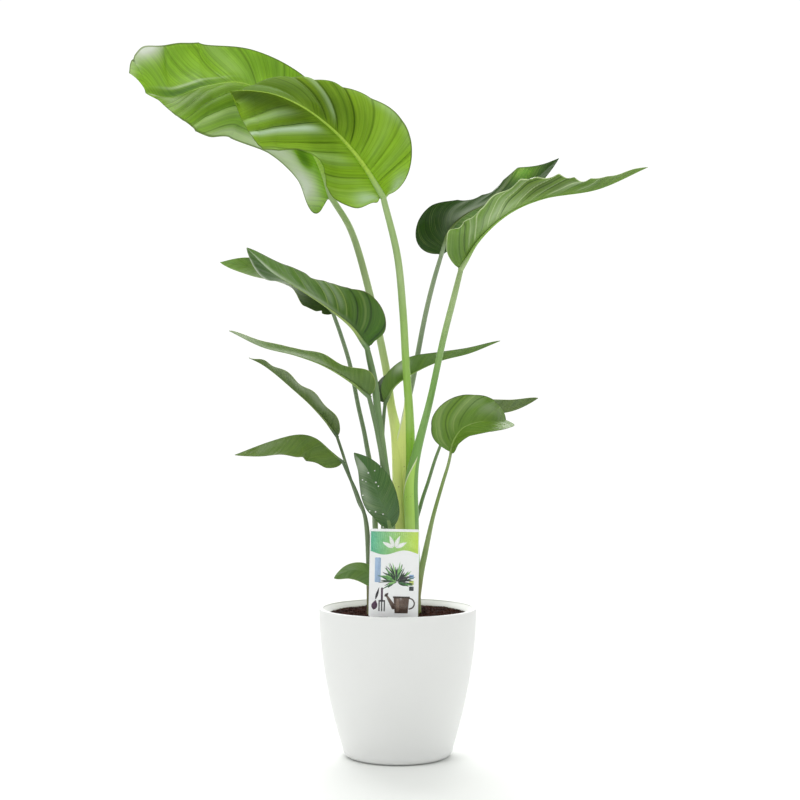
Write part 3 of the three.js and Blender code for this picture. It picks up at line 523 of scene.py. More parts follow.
class Shader:
    """The nodes of a new material, or of a world, that are put together by short calls."""

    def __init__(self, name, kind="materials"):
        self.owner = getattr(bpy.data, kind).new(name)
        self.owner.use_nodes = True
        self.tree = self.owner.node_tree
        self.tree.nodes.clear()

    def node(self, kind, sockets=None, **settings):
        made = self.tree.nodes.new(kind)
        for key, value in settings.items():
            setattr(made, key, value)
        for key, value in (sockets or {}).items():
            if isinstance(value, bpy.types.NodeSocket):
                self.tree.links.new(value, made.inputs[key])
            else:
                made.inputs[key].default_value = value
        return made

    def math(self, operation, *numbers, clamp=False):
        made = self.node("ShaderNodeMath", dict(enumerate(numbers)), operation=operation,
                         use_clamp=clamp)
        return made.outputs[0]

    def times(self, first, second, clamp=False):
        return self.math("MULTIPLY", first, second, clamp=clamp)

    def plus(self, first, second):
        return self.math("ADD", first, second)

    def attribute(self, name, output="Vector"):
        return self.node("ShaderNodeAttribute", attribute_name=name).outputs[output]

    def split(self, vector):
        return self.node("ShaderNodeSeparateXYZ", {0: vector}).outputs

    def join(self, x, y, z):
        return self.node("ShaderNodeCombineXYZ", {0: x, 1: y, 2: z}).outputs[0]

    def mix(self, share, first, second, blend="MIX"):
        made = self.node("ShaderNodeMix", {0: share, 6: first, 7: second}, data_type="RGBA",
                         blend_type=blend)
        return made.outputs[2]

    def tint(self, color, other):
        return self.mix(1.0, color, other, "MULTIPLY")

    def range(self, value, low, high, to_low=0.0, to_high=1.0):
        """A smooth step from to_low to to_high while the value goes from low to high."""
        sockets = {0: value, 1: low, 2: high, 3: to_low, 4: to_high}
        return self.node("ShaderNodeMapRange", sockets, interpolation_type="SMOOTHSTEP").outputs[0]

    def noise(self, vector, scale=1.0, detail=3.0, roughness=0.55):
        return self.node("ShaderNodeTexNoise", {"Vector": vector, "Scale": scale, "Detail": detail,
                                                "Roughness": roughness}).outputs[0]

    def bump(self, height, strength, distance, normal=None):
        sockets = {"Strength": strength, "Distance": distance, "Height": height}
        if normal is not None:
            sockets["Normal"] = normal
        return self.node("ShaderNodeBump", sockets).outputs[0]

    def position(self):
        return self.node("ShaderNodeTexCoord").outputs["Object"]

    def principled(self, **sockets):
        names = {key.replace("_", " ").title().replace("Ior", "IOR"): value
                 for key, value in sockets.items()}
        return self.node("ShaderNodeBsdfPrincipled", names).outputs[0]

    def finish(self, surface, output="ShaderNodeOutputMaterial"):
        self.node(output, {"Surface": surface})
        return self.owner


def pot_material():
    s = Shader("white_plastic")
    place = s.position()
    cloud = s.noise(place, 9, 2)
    grain = s.noise(place, 1400, 2)
    ripple = s.noise(place, 60, 3)
    color = s.mix(cloud, rgb(246, 246, 245), rgb(243, 244, 243))
    rough = s.range(ripple, 0.3, 0.7, 0.42, 0.52)
    normal = s.bump(grain, 0.12, 0.0001, s.bump(ripple, 0.08, 0.0006))
    return s.finish(s.principled(base_color=color, roughness=rough, normal=normal))


def soil_material():
    s = Shader("potting_soil")
    place = s.position()
    lumps = s.noise(place, 160, 4, 0.65)
    fibres = s.noise(place, 520, 4, 0.7)
    warm = s.noise(place, 60, 2)
    color = s.mix(s.range(lumps, 0.35, 0.7), rgb(17, 8, 5), rgb(60, 31, 17))
    color = s.mix(s.range(fibres, 0.58, 0.72), color, rgb(120, 66, 36))
    color = s.mix(s.range(warm, 0.4, 0.7), color, s.mix(0.4, color, rgb(76, 36, 26)))
    rough = s.range(fibres, 0.3, 0.7, 0.95, 0.75)
    normal = s.bump(s.plus(lumps, s.times(fibres, 0.5)), 0.9, 0.0016)
    return s.finish(s.principled(base_color=color, roughness=rough, normal=normal,
                                 specular_ior_level=0.05))


def leaf_material(name, leaf, seed):
    """Both faces of a blade and its midrib: fine parallel veins, a pale margin, a gloss, and painted
    highlights and painted shade.
    """
    s = Shader(name)
    u, across, rib = s.split(s.attribute("leaf_map"))
    vein, reach, upper = s.split(s.attribute("vein_map"))
    painted_sheen = s.attribute("painted_sheen", "Fac")
    side = s.plus(s.math("SIGN", across), seed)

    def veined(count, stretch, detail):
        """Noise that runs along the veins, count to a metre across them."""
        place = s.join(s.times(vein, count), s.times(reach, stretch), side)
        return s.noise(place, 1, detail)

    fine, band, broad = veined(1100, 16, 2), veined(150, 6, 2), veined(34, 5, 1)
    cloud = s.noise(s.position(), 12, 2)
    wavy = s.plus(s.times(vein, 2 * math.pi / VEIN_SPACING), s.times(band, 1.6))
    line = s.times(s.range(s.math("SINE", wavy), 0.6, 1.0), s.range(broad, 0.35, 0.65, 0.3, 1.0))

    color = s.mix(upper, rgb(*leaf["under_tint"]), rgb(*leaf["upper_tint"]))
    pale = s.mix(0.55, color, rgb(*leaf.get("pale", (214, 232, 140))))
    deep = s.tint(color, rgb(176, 196, 150))
    color = s.mix(s.range(broad, 0.35, 0.65), color, s.tint(color, rgb(255, 255, 205)))
    color = s.mix(s.range(band, 0.42, 0.7, 0.0, 0.4), color, deep)
    color = s.mix(s.range(cloud, 0.45, 0.7, 0.0, 0.35), color, deep)
    color = s.mix(s.range(fine, 0.52, 0.75, 0.0, 0.35), color, pale)
    color = s.mix(s.range(fine, 0.5, 0.25, 0.0, 0.4), color, deep)
    veins = leaf.get("veins", 0.5 if leaf.get("slot") == "bright" else 0.22)
    # The tone map tints the patches: mostly painted shade and painted light, a few the leaf's own
    # colour.
    color = s.tint(s.mix(s.times(line, veins), color, deep), s.attribute("tone"))
    # The painted sheen: a painted highlight mixed towards a pale colour, and painted shade where it is
    # below zero.
    painted_sheen_color = rgb(*leaf.get("painted_sheen", (232, 240, 222)))
    color = s.mix(s.times(painted_sheen, 0.8, clamp=True), color, painted_sheen_color)
    color = s.mix(s.times(painted_sheen, -0.8, clamp=True), color, deep)
    # dark colours the dark lines, which are painted shade, mostly in the creases between the pleats;
    # the pale lines are pale veins.
    dark = s.tint(color, rgb(160, 176, 138))
    for half, sign in ((leaf["left"], -1), (leaf["right"], 1)):
        own = s.math("GREATER_THAN", s.times(across, sign), 0.0)
        own = s.times(own, s.range(reach, 2 * MM, 12 * MM))
        for place, strength in half.get("lines", []):
            gap = s.math("ABSOLUTE", s.math("SUBTRACT", vein, place * MM))
            mark = s.times(s.range(gap, 0.0, LINE_WIDTH, abs(strength), 0.0), own)
            color = s.mix(mark, color, pale if strength > 0 else dark)
    margin = s.range(s.math("ABSOLUTE", across), 0.965, 0.985, 0.0, 0.75)
    color = s.mix(margin, color, rgb(*leaf.get("edge", (190, 204, 120))))
    rib_pale = s.range(u, 0.5, 0.85, leaf.get("rib_pale", 0.3), 0.0)
    rib_color = s.mix(s.range(u, 0.02, 0.16), rgb(*leaf["stalk"]), s.mix(rib_pale, color, pale))
    color = s.mix(rib, color, rib_color)

    rough = leaf.get("rough", 0.34)
    height = s.plus(s.plus(s.times(fine, 0.3), s.times(line, -0.6)), s.times(band, 1.4))
    normal = s.bump(height, 0.4, 0.0008)
    surface = s.principled(base_color=color, roughness=s.range(fine, 0.3, 0.7, rough, rough + 0.1),
                           normal=normal, specular_ior_level=leaf.get("shine", 0.4),
                           coat_weight=leaf.get("coat", 0.1), coat_roughness=0.2)
    through = s.node("ShaderNodeBsdfTranslucent", {"Color": s.tint(color, rgb(250, 255, 170)),
                                                   "Normal": normal}).outputs[0]
    clear = s.math("SUBTRACT", 1.0, s.times(painted_sheen, 0.75, clamp=True))
    share = s.times(s.times(clear, s.math("SUBTRACT", 1.0, rib)), leaf["glow"])
    return s.finish(s.node("ShaderNodeMixShader", {0: share, 1: surface, 2: through}).outputs[0])


def stalk_material(name, leaf, rim=False):
    """A fleshy stalk with fine streaks, a sheath of another colour and dust near the soil."""
    s = Shader(name)
    t, turn, height = s.split(s.attribute("stalk_map"))
    place = s.position()
    streak = s.noise(s.join(s.times(turn, 60), s.times(height, 7), 0), 1, 3)
    speck = s.noise(place, 260, 2)
    cloud = s.noise(place, 16, 2)
    plain = s.mix(s.range(height, *leaf.get("sheath_top", (0.1, 0.2)), 1.0, 0.0),
                  rgb(*leaf["stalk"]), rgb(*leaf.get("sheath", leaf["stalk"])))
    streaked = s.mix(leaf.get("streaks", 0.35), plain, rgb(70, 100, 45))
    color = s.mix(s.range(streak, 0.3, 0.7), streaked, plain)
    bloom = s.mix(0.4, color, rgb(235, 245, 200))
    color = s.mix(s.range(cloud, 0.4, 0.7, 0.0, 0.35), color, bloom)
    color = s.mix(s.range(speck, 0.70, 0.78, 0.0, 0.5), color, rgb(110, 96, 60))
    dusty = s.mix(0.5, color, rgb(150, 130, 80))
    color = s.mix(s.range(height, 0.26, 0.30, 1.0, 0.0), color, dusty)
    if rim:
        color = s.mix(s.range(t, 0.965, 0.985), color, rgb(232, 242, 196))
    rough = s.range(streak, 0.3, 0.7, 0.36, 0.46)
    normal = s.bump(streak, 0.25, 0.0006)
    return s.finish(s.principled(base_color=color, roughness=rough, normal=normal,
                                 specular_ior_level=0.55))


# ---------------------------------------------------------------- pot and soil

def outer_radius(z):
    return RIM_RADIUS - WALL_TAPER * ((POT_HEIGHT - z) / POT_HEIGHT) ** TAPER_POWER


def inner_radius(z):
    return min(INNER_RADIUS, outer_radius(z) - WALL)


def turned(name, profile, sides, smooth_angle=40):
    """A solid of revolution. The profile runs from the axis back to the axis."""
    ring = profile[1:-1]
    points = [point for r, z in ring for point in ring_points(r, z, sides)]
    faces = grid_faces(len(ring), sides, closed=True, flip=True)
    for z, row, turn in ((profile[0][1], 0, 1), (profile[-1][1], len(ring) - 1, -1)):
        middle = len(points)
        points.append((0, 0, z))
        for j in range(sides):
            a, b = row * sides + j, row * sides + (j + 1) % sides
            faces.append((middle, b, a)[::turn])
    return make_mesh(name, points, faces, smooth_angle)


def rounded(centre, radius, start, end, steps):
    """Points of an arc in the profile's plane, by angle in degrees."""
    angles = np.radians(np.linspace(start, end, steps))
    return [(centre[0] + radius * math.cos(a), centre[1] + radius * math.sin(a)) for a in angles]


def make_pot():
    """The pot in one profile: under its base, up the side, over the rim and down the inside."""
    bottom = (outer_radius(BASE_ROUNDING) - BASE_ROUNDING, BASE_ROUNDING)
    profile = [(0, 0)] + [(bottom[0] * share, 0) for share in (0.4, 0.8)]
    profile += rounded(bottom, BASE_ROUNDING, -90, -4, 14)
    profile += [(outer_radius(z), z)
                for z in np.linspace(BASE_ROUNDING, POT_HEIGHT - RIM_ROUNDING, 40)]
    outer = (RIM_RADIUS - RIM_ROUNDING, POT_HEIGHT - RIM_ROUNDING)
    inner = (RIM_RADIUS - RIM_BAND + RIM_ROUNDING, POT_HEIGHT - RIM_ROUNDING)
    profile += rounded(outer, RIM_ROUNDING, 12, 90, 6)
    profile += rounded(inner, RIM_ROUNDING, 90, 180, 7)
    slope = POT_HEIGHT - RIM_CHAMFER_DEPTH
    profile += [(inner_radius(slope) + 0.6 * MM, slope + 0.9 * MM)]
    profile += [(inner_radius(z), z) for z in np.linspace(slope, BASE_ROUNDING, 24)]
    profile += [(inner_radius(BASE_ROUNDING) - WALL, FLOOR), (0, FLOOR)]
    add_piece(turned("pot_turned", profile, POT_SIDES), "pot_plastic", pot_material(), "pot")


def soil_height(x, y):
    """The top of the soil at a place: a low crown, the large bumps and finer crumbs."""
    share = min(math.hypot(x, y) / SOIL_RADIUS, 1)
    xm, ym = x / MM, y / MM
    bump = math.sin(xm / 9 + math.sin(ym / 13)) + math.sin(ym / 8 - math.sin(xm / 11))
    z = SOIL_LEVEL - SOIL_EDGE_DROP + SOIL_CROWN * (1 - share ** 4)
    z += SOIL_BUMP * bump * (1 - share ** 12)
    place = Vector((xm, ym, 0.0))
    z += 0.9 * MM * noise.noise(place / 7) + 0.8 * MM * abs(noise.noise(place / 2.6))
    return z


def make_soil():
    """A crumbly top over a plain body, with loose crumbs pressed into it."""
    sides, rings = SOIL_GRID
    points = []
    for i in range(rings):
        around = ring_points(SOIL_RADIUS * (1 - i / rings) ** 0.9, 0, sides, 0.5 * (i % 2))
        points += [(x, y, soil_height(x, y)) for x, y, _ in around]
    faces = grid_faces(rings, sides, closed=True, flip=True)
    lower = [(inner_radius(z) - GAP, z)
             for z in np.linspace(SOIL_LEVEL - 4 * MM, FLOOR + 10 * MM, 8)]
    lower += [(inner_radius(BASE_ROUNDING) - WALL - GAP, FLOOR + GAP)]
    start = len(points)
    for r, z in lower:
        points += ring_points(r, z, sides)
    faces += grid_faces(len(lower), sides, start, closed=True)
    inmost, last, top = start - sides, start + (len(lower) - 1) * sides, len(points)
    points += [(0, 0, soil_height(0, 0)), (0, 0, FLOOR + GAP)]
    for a in range(sides):
        b = (a + 1) % sides
        faces += [(start + a, start + b, b, a), (top, inmost + a, inmost + b),
                  (top + 1, last + b, last + a)]

    draw = np.random.default_rng(41)
    ball = [(0, 0, 1), (0, 0, -1)] + ring_points(1, 0, CRUMB_SIDES)
    for _ in range(CRUMBS):
        r, a = SOIL_RADIUS * math.sqrt(draw.uniform(0, 0.985)), draw.uniform(0, 2 * math.pi)
        x, y = r * math.cos(a), r * math.sin(a)
        size = draw.uniform(0.5, 1.5) * MM * (1.6 if draw.uniform() < 0.06 else 1)
        size = min(size, (SOIL_RADIUS - r) / 1.5 + 0.3 * MM)
        start = len(points)
        stretch = draw.uniform(0.6, 1.3, 3)
        turn = draw.uniform(0, 2 * math.pi)
        z = soil_height(x, y) + 0.25 * size
        for corner in ball:
            jitter = 1 + draw.uniform(-0.25, 0.25)
            bx, by, bz = (corner[k] * size * stretch[k] * jitter for k in range(3))
            points.append((x + bx * math.cos(turn) - by * math.sin(turn),
                           y + bx * math.sin(turn) + by * math.cos(turn), z + 0.8 * bz))
        for k in range(CRUMB_SIDES):
            a, b = start + 2 + k, start + 2 + (k + 1) % CRUMB_SIDES
            faces += [(start, a, b), (start + 1, b, a)]
    soil = make_mesh("soil_crumbs", points, faces, 35)
    add_piece(soil, "potting_soil", soil_material(), "soil")


# ---------------------------------------------------------------- leaves

def pleats(half, vein, far, width):
    """How far the folds along the veins lift the half blade, with the painted sheen along their crests,
    painted shade where it is below zero.
    """
    folds, lean = half.get("folds", []), half.get("lean", 0.5)
    lift, painted_sheen = np.zeros_like(vein), np.zeros_like(vein)
    for (start, rise, shine), (end, *_) in zip(folds, folds[1:]):
        share = (vein / MM - start) / (end - start)
        crest = np.clip(np.where(share < lean, share / (2 * lean),
                                 1 - (1 - share) / (2 * (1 - lean))), 0, 1)
        lift += rise * MM * np.sin(math.pi * crest) ** 0.9
        # Each fold's third value paints a highlight along its crest, and paints shade where it is below
        # zero.
        painted_sheen += shine * np.exp(-((share - lean) / PAINTED_SHEEN_SPREAD) ** 2)
    fade = smooth(far, 1 * MM, 22 * MM) * smooth(width, 6 * MM, 40 * MM)
    return lift * fade, painted_sheen * smooth(far, 3 * MM, 30 * MM)


def shading(half, u, s):
    """The colour by which patches of the half blade differ from the rest: most are painted shade and
    painted light, a few the leaf's own colour.
    """
    tone = np.ones(s.shape + (3,))
    for place, reach, start, spread, tint in half.get("tint_and_painted_light_patches", []):
        share = np.exp(-((u[:, None] - place) / reach) ** 2 - ((s - start) / spread) ** 2)
        tone *= 1 - share[..., None] * (1 - np.array(tint) / 255)
    return tone


def painted_light_spots(half, u, s):
    """Painted highlights on the half blade, and painted shade where an amount is below zero."""
    shine = np.zeros(s.shape)
    for place, reach, start, spread, amount in half.get("painted_light_spots", []):
        shine += amount * np.exp(-((u[:, None] - place) / reach) ** 2 - ((s - start) / spread) ** 2)
    return shine


def half_blade(leaf, half, side, u, columns, frames):
    """Points of one half blade, rows along the midrib and columns from it to the margin."""
    base, tip = half.get("shape", leaf["shape"])
    widest = base / (base + tip)
    stalk_radius = leaf["foot"][-1][3] * MM
    swell = (u / widest) ** base * ((1 - np.minimum(u, half.get("cut", 1))) / (1 - widest)) ** tip
    start = BLADE_FOOT * stalk_radius
    smallest = start * (1 - u) + TIP_HALF_WIDTH * u
    full = values(half["half"], u) * MM * swell
    for place, reach, depth in half.get("nicks", []):
        full *= 1 - depth * np.exp(-((u - place) / reach) ** 2)
    width = np.maximum(full, smallest)
    curl = np.radians(values(half.get("curl", [0, 0]), u))
    curl = np.where(np.abs(curl) < 1e-4, 1e-4, curl)
    first = np.radians(values(half["tilt"], u)) - curl / 2
    hang = half.get("lobe", 0) * np.clip(1 - u / LOBE_REACH, 0, 1) ** 2 * (width - smallest)
    sweep = values(half.get("sweep", [0, 0]), u)[:, None] * MM
    height, count, phase = half.get("wave", [0, 1, 0])
    ripple = height * MM * np.sin(2 * math.pi * (count * u + phase))
    ripple *= np.sqrt(np.clip(np.sin(math.pi * u), 0, 1))
    lobe_start = LOBE_START * stalk_radius
    rib_half = 0.6 * stalk_radius * (1 - u) + TIP_HALF_WIDTH / 2
    near = np.minimum(1.3 * rib_half / width, 0.5)
    curl, first, width, ripple, hang, near = (
        row[:, None] for row in (curl, first, width, ripple, hang, near))
    even = np.linspace(0, 1, columns + 1 - UNDER_RIB)
    spread = even - 0.5 * np.sin(2 * math.pi * even) / (2 * math.pi)
    s = np.hstack([near * np.arange(UNDER_RIB) / UNDER_RIB, near + (1 - near) * spread])
    angle = first + curl * s
    sideways = width * (np.sin(angle) - np.sin(first)) / curl
    forward = width * (np.cos(first) - np.cos(angle)) / curl
    room = np.maximum(width - lobe_start, 1 * MM)
    lobe_share = np.clip((s * width - lobe_start) / room, 0, 1) ** 2
    centre, along, across, front = (vectors[:, None] for vectors in frames)
    points = centre + across * (side * (sideways - ripple * s ** 2 * np.sin(angle)))[..., None]
    points = points + front * (forward + ripple * s ** 2 * np.cos(angle))[..., None]
    points = points + along * (sweep * s ** 2 - hang * lobe_share)[..., None]
    far = s * width
    vein = distances(centre[:, 0])[:, None] - far * values(half.get("slant", SLANT), u)[:, None]
    lift, painted_sheen = pleats(half, vein, far, width)
    fade = values(half.get("calm", [1, 1]), u)[:, None]
    lift *= 1 - (1 - fade) * smooth(s, 0.5, 1)
    edge = np.maximum(0, far - width + EDGE_ROLL)
    lift += values(half.get("roll", [0, 0]), u)[:, None] * edge ** 2 / (2 * EDGE_ROLL)
    return points, s, far, vein, lift, painted_sheen + painted_light_spots(half, u, s), shading(half, u, s)


def midrib(leaf):
    """Points of the midrib, from the end of the stalk to the tip."""
    return np.array([leaf["foot"][-1][:3]] + leaf["rib"], float) * MM


def make_blade(name, leaf, seed):
    """A thin closed blade, left margin to right margin, and its midrib."""
    slot = leaf.get("slot", "green")
    under = leaf.get("under", 1)
    rows, columns = BIG_BLADE_GRID if slot == "bright" else BLADE_GRID
    share = np.linspace(0, 1, rows + 1)
    u = 0.5 * share + 0.25 * (1 - np.cos(math.pi * share))
    rib = midrib(leaf)
    centre, along = curve(rib, u), direction(rib, u)
    across = unit(np.cross(along, AWAY))
    frames = (centre, along, across, np.cross(along, across))
    left = half_blade(leaf, leaf["left"], 1, u, columns, frames)
    right = half_blade(leaf, leaf["right"], -1, u, columns, frames)
    points, s, far, vein, lift, painted_sheen, tone = (
        np.concatenate([one[:, :0:-1], other], axis=1) for one, other in zip(left, right))
    s[:, :columns] *= -1
    length = distances(centre)
    spread = (far > 2 * MM) * smooth(np.abs(s), 0.02, 0.25) * (1 - smooth(np.abs(s), 0.85, 1))
    fold = np.array([[noise.noise(Vector((v * 90, 3.7 * seed, 9.0 * (h > 0))))
                      for v, h in zip(vs, hs)] for vs, hs in zip(vein, s)])
    normal = unit(np.cross(np.gradient(points, axis=0), np.gradient(points, axis=1)))
    points = points + normal * (fold * spread * 0.9 * MM - under * lift)[..., None]
    normal = unit(np.cross(np.gradient(points, axis=0), np.gradient(points, axis=1)))
    half = BLADE_THICKNESS / 2 * (1 - 0.6 * np.abs(s) ** 1.5)[..., None]
    count = rows + 1
    wide = 2 * columns + 1
    shell = np.concatenate([(points + normal * half).reshape(-1, 3),
                            (points - normal * half).reshape(-1, 3)])
    faces = plate_faces(count, wide)
    upper = 0.0 if under < 0 else 1.0

    # The midrib: round where it leaves the stalk, then flat on the upper face.
    radius = leaf["foot"][-1][3] * MM * 0.97 * (1 - u) ** 2.2 + 0.35 * MM
    below = -normal[:, columns] * under
    beside = np.cross(along, below)
    sink = 0.3 * radius * smooth(u, 0, 0.1)
    angles = 2 * math.pi * np.arange(RIB_SIDES) / RIB_SIDES
    flat = 1 - 0.8 * smooth(u, 0.0, 0.16)
    reach = np.where(np.sin(angles)[None] > 0, 1.0, flat[:, None]) * np.sin(angles)
    middle = centre + below * sink[:, None]
    middle[0] -= along[0] * 3 * MM
    radius[0] *= 0.97
    tube = (middle[:, None] + beside[:, None] * (radius[:, None] * np.cos(angles))[..., None]
            + below[:, None] * (radius[:, None] * reach)[..., None]).reshape(-1, 3)
    faces += tube_faces(count, RIB_SIDES, len(shell), flip=True)
    skin = stacked(u[:, None], s, 0)
    tone = tone.reshape(-1, 3)
    # The sheen map carries painted highlights and painted shade, and the tone map the patches' painted
    # shade and light.
    maps = {
        "leaf_map": np.concatenate([skin, skin, stacked(u[:, None], 0 * angles, 1)]),
        "vein_map": np.concatenate([stacked(vein, far, upper), stacked(vein, far, 1 - upper),
                                    stacked(length[:, None], angles * 2 * MM, 0)]),
        "painted_sheen": np.concatenate([painted_sheen.ravel(), painted_sheen.ravel(), np.zeros(len(tube))]),
        "tone": np.concatenate([tone, tone, np.ones(tube.shape)]),
    }
    blade = make_mesh(f"{name}_veined_blade", np.concatenate([shell, tube]), faces, 55, maps)
    material = leaf_material(f"{name}_skin", leaf, seed)
    add_piece(blade, f"blade_{slot}", material, f"{name}_blade")


def make_stalk(name, leaf):
    """A round stalk with a shallow groove. Its end turns in to the midrib."""
    sides, rings = STALK_GRID
    foot = np.array(leaf["foot"], float) * MM
    t = np.linspace(0, 1, rings + 1)
    centre, radius = curve(foot[:, :3], t), values(foot[:, 3], t) * 0.98
    along = direction(foot[:, :3], t)
    along[-1] = direction(midrib(leaf), 0)[0]
    centre[-1] -= along[-1] * GAP
    across = unit(np.cross(along, AWAY))
    third = np.cross(along, across)
    angles = 2 * math.pi * np.arange(sides) / sides
    groove = -leaf.get("under", 1) * math.pi / 2
    away = np.abs((angles - groove + math.pi) % (2 * math.pi) - math.pi)
    dent = 1 - 0.22 * np.exp(-(away / 0.45) ** 2) * smooth(t, 0.15, 0.5)[:, None]
    reach = radius[:, None] * dent
    points = (centre[:, None] + across[:, None] * (reach * np.cos(angles))[..., None]
              + third[:, None] * (reach * np.sin(angles))[..., None]).reshape(-1, 3)
    turn = np.abs(angles / math.pi - 1)
    maps = {"stalk_map": stacked(t[:, None], turn, centre[:, 2:])}
    stalk = make_mesh(f"{name}_smooth_stalk", points, tube_faces(rings + 1, sides), 60, maps)
    slot = "stalk_bright" if name in ("leaf_01", "leaf_02", "leaf_04") else "stalk_green"
    add_piece(stalk, slot, stalk_material(f"{name}_stalk_skin", leaf), f"{name}_stalk")


def make_sheath(name, owner, color, start, end, low, high, loose):
    """A loose pointed edge of the sheath round a stalk, between two angles, with its top edge."""
    leaf = LEAVES[owner]
    foot = np.array(leaf["foot"], float) * MM
    t = np.linspace(0, 1, 200)
    stalk, radius = curve(foot[:, :3], t), values(foot[:, 3], t)
    rows, columns = SHEATH_GRID
    share = np.linspace(0, 1, columns + 1)
    turn = np.radians(start + (end - start) * share)
    bottom = SOIL_LEVEL - 4 * MM
    top = ((low + (high - low) * share ** 0.8) * MM)[None]
    up = np.linspace(0, 1, rows + 1)[:, None]
    z = bottom + (top - bottom) * up
    x, y, r = (np.interp(z, stalk[:, 2], line) for line in (stalk[:, 0], stalk[:, 1], radius))
    apart = (loose * MM * (1 - share) ** 2)[None] * smooth(up, 0, 0.5)
    sides = []
    for lift in (SHEATH_PROUD + SHEATH_THICKNESS, SHEATH_PROUD):
        reach = r + apart + lift
        sides.append(np.stack([x + reach * np.cos(turn), y + reach * np.sin(turn), z], -1))
    faces = plate_faces(rows + 1, columns + 1, flip=True)
    maps = stacked(up, 0.4 + 0.3 * share, z)
    points = np.concatenate([side.reshape(-1, 3) for side in sides])
    sheath = make_mesh(name, points, faces, 60, {"stalk_map": np.tile(maps, (2, 1))})
    skin = dict(leaf, sheath=color, sheath_top=(0.6, 0.9), streaks=0.12)
    add_piece(sheath, "stalk_bright", stalk_material(f"{name}_skin", skin, rim=True))


def drop_material():
    s = Shader("water_drop")
    speck = s.noise(s.position(), 900, 1)
    # The drops are coloured near white: a painted highlight in place of the glints on clear water.
    color = s.mix(speck, rgb(244, 250, 240), rgb(254, 255, 250))
    return s.finish(s.principled(base_color=color, roughness=0.04, transmission_weight=0.15,
                                 ior=1.33))


def make_drops():
    """Drops of water on the small leaf at the front, each sunk a little into its blade."""
    mesh = bpy.data.objects["leaf_13_veined_blade"].data
    places = np.empty(3 * len(mesh.vertices))
    normals = np.empty_like(places)
    mesh.vertices.foreach_get("co", places)
    mesh.vertices.foreach_get("normal", normals)
    places, normals = places.reshape(-1, 3), normals.reshape(-1, 3)
    front = normals[:, 1] < -0.3
    places, normals = places[front], normals[front]
    points, faces = [], []
    sides, rings = DROP_GRID
    for x, z, radius in DROPS:
        nearest = np.argmin((places[:, 0] - x * MM) ** 2 + (places[:, 2] - z * MM) ** 2)
        middle, out = places[nearest], unit(normals[nearest])
        beside = unit(np.cross(out, [0.0, 0.0, 1.0]))
        upward = np.cross(beside, out)
        start = len(points)
        for i in range(rings + 1):
            tilt = math.pi * i / rings
            for j in range(sides):
                turn = 2 * math.pi * j / sides
                reach = radius * MM * max(math.sin(tilt), 0.02)
                rise = radius * MM * (0.7 * math.cos(tilt) + 0.25)
                points.append(middle + out * rise + reach * (beside * math.cos(turn)
                                                             + upward * math.sin(turn)))
        faces += tube_faces(rings + 1, sides, start)
    drops = make_mesh("leaf_13_water_drops", points, faces, 60)
    add_piece(drops, "blade_dark", drop_material())


# ---------------------------------------------------------------- label

def card_material():
    s = Shader("label_white_card")
    place = s.position()
    mottle = s.noise(place, 40, 2)
    grain = s.noise(place, 900, 2)
    color = s.mix(mottle, rgb(252, 253, 253), rgb(247, 249, 250))
    normal = s.bump(grain, 0.06, 0.0001)
    return s.finish(s.principled(base_color=color, roughness=s.range(grain, 0.3, 0.7, 0.28, 0.36),
                                 normal=normal))


def ink_material():
    """Printed colour with a fine screen of dots and a little unevenness."""
    s = Shader("label_ink")
    place = s.position()
    dots = s.noise(place, 1600, 1)
    cloud = s.noise(place, 120, 3)
    color = s.attribute("ink")
    color = s.mix(s.range(dots, 0.45, 0.7, 0.0, 0.12), color, rgb(250, 252, 250))
    color = s.mix(s.range(cloud, 0.45, 0.75, 0.0, 0.25), color, s.tint(color, color))
    return s.finish(s.principled(base_color=color, roughness=s.range(cloud, 0.3, 0.7, 0.25, 0.34),
                                 normal=s.bump(dots, 0.05, 0.0001)))


def on_label(points, lift):
    """Places on the label, [across, up] in millimetres, that stand lift proud of its front."""
    flat = np.asarray(points, float) * MM
    x = flat[:, 0] * math.cos(LABEL_LEAN) + flat[:, 1] * math.sin(LABEL_LEAN) + LABEL_X
    z = flat[:, 1] * math.cos(LABEL_LEAN) - flat[:, 0] * math.sin(LABEL_LEAN) + LABEL_BOTTOM
    y = np.full(len(flat), LABEL_Y - LABEL_THICKNESS / 2 - lift)
    return np.stack([x, y, z], -1)


def corner(start, middle, end, steps=6):
    t = np.linspace(0, 1, steps)[:, None]
    a, b, c = (np.array(place, float) for place in (start, middle, end))
    return ((1 - t) ** 2 * a + 2 * t * (1 - t) * b + t ** 2 * c).tolist()


def card_outline(width, height, round_by, middle=(0.0, 0.0)):
    """A rectangle with rounded corners, anticlockwise from its lower right one."""
    x, z = width / 2, height / 2
    outline = []
    for sx, sz in ((1, -1), (1, 1), (-1, 1), (-1, -1)):
        ends = [(sx * (x - round_by), sz * z), (sx * x, sz * (z - round_by))]
        if sx * sz > 0:
            ends.reverse()
        outline += corner(ends[0], (sx * x, sz * z), ends[1])
    return (np.array(outline) + middle).tolist()


def lance(foot, angle, length, breadth, bend=0.0, steps=9):
    """A pointed leaf shape from foot, with its angle in degrees from upright and a bend."""
    t = np.linspace(0, 1, steps)
    turn = np.radians(angle + bend * t)
    ahead = np.stack([np.sin(turn), np.cos(turn)], -1)
    spine = np.cumsum(ahead, axis=0) * length / steps + foot
    beside = np.stack([ahead[:, 1], -ahead[:, 0]], -1)
    half = (breadth / 2 * np.sin(math.pi * t ** 0.8) + 0.12)[:, None]
    return np.concatenate([spine + beside * half, (spine - beside * half)[::-1]])


